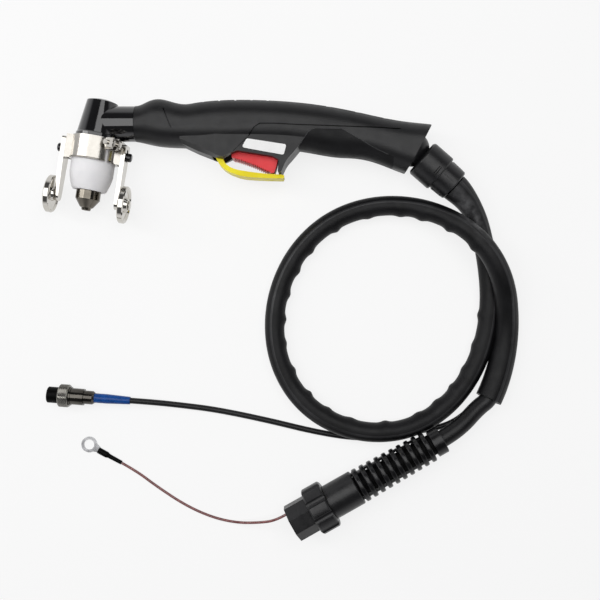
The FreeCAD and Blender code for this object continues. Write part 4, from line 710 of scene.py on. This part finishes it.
def trigger_coil():
    """The trigger's coil spring: a copy of the CAD spring with its own mesh and the spring steel look."""
    node = NODES["trigger_spring"]
    coil = bpy.data.objects.new("trigger_coil", node.data.copy())
    coil.matrix_world = node.matrix_world.copy()
    bpy.context.collection.objects.link(coil)
    dress(coil, LOOKS["spring_steel"])
    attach(coil, "torch")
    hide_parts("trigger_spring")
    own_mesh(coil)


trigger_coil()

# ---------------------------------------------------------------- stage

RAY_KINDS = ("Is Camera Ray", "Is Glossy Ray", "Is Transmission Ray")


def seen_directly(nodes, links):
    """A factor that is 1 for a ray that shows the surroundings to the eye."""
    path = nodes.new("ShaderNodeLightPath")
    total = path.outputs[RAY_KINDS[0]]
    for kind in RAY_KINDS[1:]:
        either = nodes.new("ShaderNodeMath")
        either.operation = "MAXIMUM"
        links.new(total, either.inputs[0])
        links.new(path.outputs[kind], either.inputs[1])
        total = either.outputs[0]
    return total


PAPER_SHARE = 0.8  # how much of the floor is plain white to the eye


def stage():
    """A white floor that is nearly as bright as paper to the eye and keeps a faint shadow."""
    bpy.ops.mesh.primitive_plane_add(size=12.0)
    floor = bpy.context.object
    floor.name = "floor"
    shader = Shader("floor_white")
    shader.colour(shader.ramp(shader.noise(0.4), (0.88, 0.88, 0.88), (0.91, 0.91, 0.91)))
    shader.set(Roughness=0.9, Specular_IOR_Level=0.1)
    glow = shader.nodes.new("ShaderNodeEmission")
    glow.inputs["Color"].default_value = (1, 1, 1, 1)
    glow.inputs["Strength"].default_value = 1.0
    blend = shader.nodes.new("ShaderNodeMixShader")
    blend.inputs[0].default_value = PAPER_SHARE
    shader.links.new(shader.bsdf.outputs[0], blend.inputs[1])
    shader.links.new(glow.outputs[0], blend.inputs[2])
    choose = shader.nodes.new("ShaderNodeMixShader")
    shader.links.new(seen_directly(shader.nodes, shader.links), choose.inputs[0])
    shader.links.new(shader.bsdf.outputs[0], choose.inputs[1])
    shader.links.new(blend.outputs[0], choose.inputs[2])
    shader.links.new(choose.outputs[0], shader.out.inputs[0])
    dress(floor, shader.material)


def light(name, place, target, size, power):
    """A rectangular lamp that looks at the target."""
    data = bpy.data.lights.new(name, "AREA")
    data.shape = "RECTANGLE"
    data.size, data.size_y = size
    data.energy = power
    obj = bpy.data.objects.new(name, data)
    obj.location = place
    obj.rotation_euler = (Vector(target) - Vector(place)).to_track_quat("-Z", "Y").to_euler()
    bpy.context.collection.objects.link(obj)


def camera():
    """Straight above, turned so that the row's +Y is up in the picture."""
    data = bpy.data.cameras.new("camera")
    data.lens = 50.0
    data.sensor_width = 36.0
    data.clip_start, data.clip_end = 0.02, 50.0
    obj = bpy.data.objects.new("camera", data)
    obj.location = (0.0368, -0.1102, 0.686)
    bpy.context.collection.objects.link(obj)
    bpy.context.scene.camera = obj


def surroundings():
    """A pale backdrop for the eye and for reflections, and a dimmer room that lights the object."""
    world = bpy.data.worlds.new("studio")
    bpy.context.scene.world = world
    world.use_nodes = True
    nodes, links = world.node_tree.nodes, world.node_tree.links
    coords = nodes.new("ShaderNodeTexCoord")
    parts = nodes.new("ShaderNodeSeparateXYZ")
    links.new(coords.outputs["Generated"], parts.inputs[0])

    def sky(background, stops):
        """Makes one background fade with height; each stop is (height, level)."""
        fade = nodes.new("ShaderNodeValToRGB")
        fade.color_ramp.elements.new(stops[1][0])
        for element, (position, level) in zip(fade.color_ramp.elements, stops):
            element.position = position
            element.color = (level, level, level * 1.02, 1)
        links.new(parts.outputs["Z"], fade.inputs[0])
        links.new(fade.outputs[0], background.inputs["Color"])
        return background.outputs[0]

    room = sky(nodes["Background"], ((0.02, 0.97), (0.12, 0.5), (0.5, 0.1)))
    backdrop = sky(nodes.new("ShaderNodeBackground"), ((0.2, 0.97), (0.34, 0.7), (0.5, 0.1)))
    choose = nodes.new("ShaderNodeMixShader")
    links.new(seen_directly(nodes, links), choose.inputs[0])
    links.new(room, choose.inputs[1])
    links.new(backdrop, choose.inputs[2])
    links.new(choose.outputs[0], nodes["World Output"].inputs["Surface"])
    bpy.context.scene.view_settings.view_transform = "Standard"


stage()
surroundings()
light("overhead", (-0.06, 0.12, 1.15), (-0.04, 0.03, 0.0), (1.5, 0.95), 11.0)
light("left_strip", (-0.95, 0.25, 0.75), (0.0, -0.1, 0.0), (0.2, 0.9), 3.0)
camera()
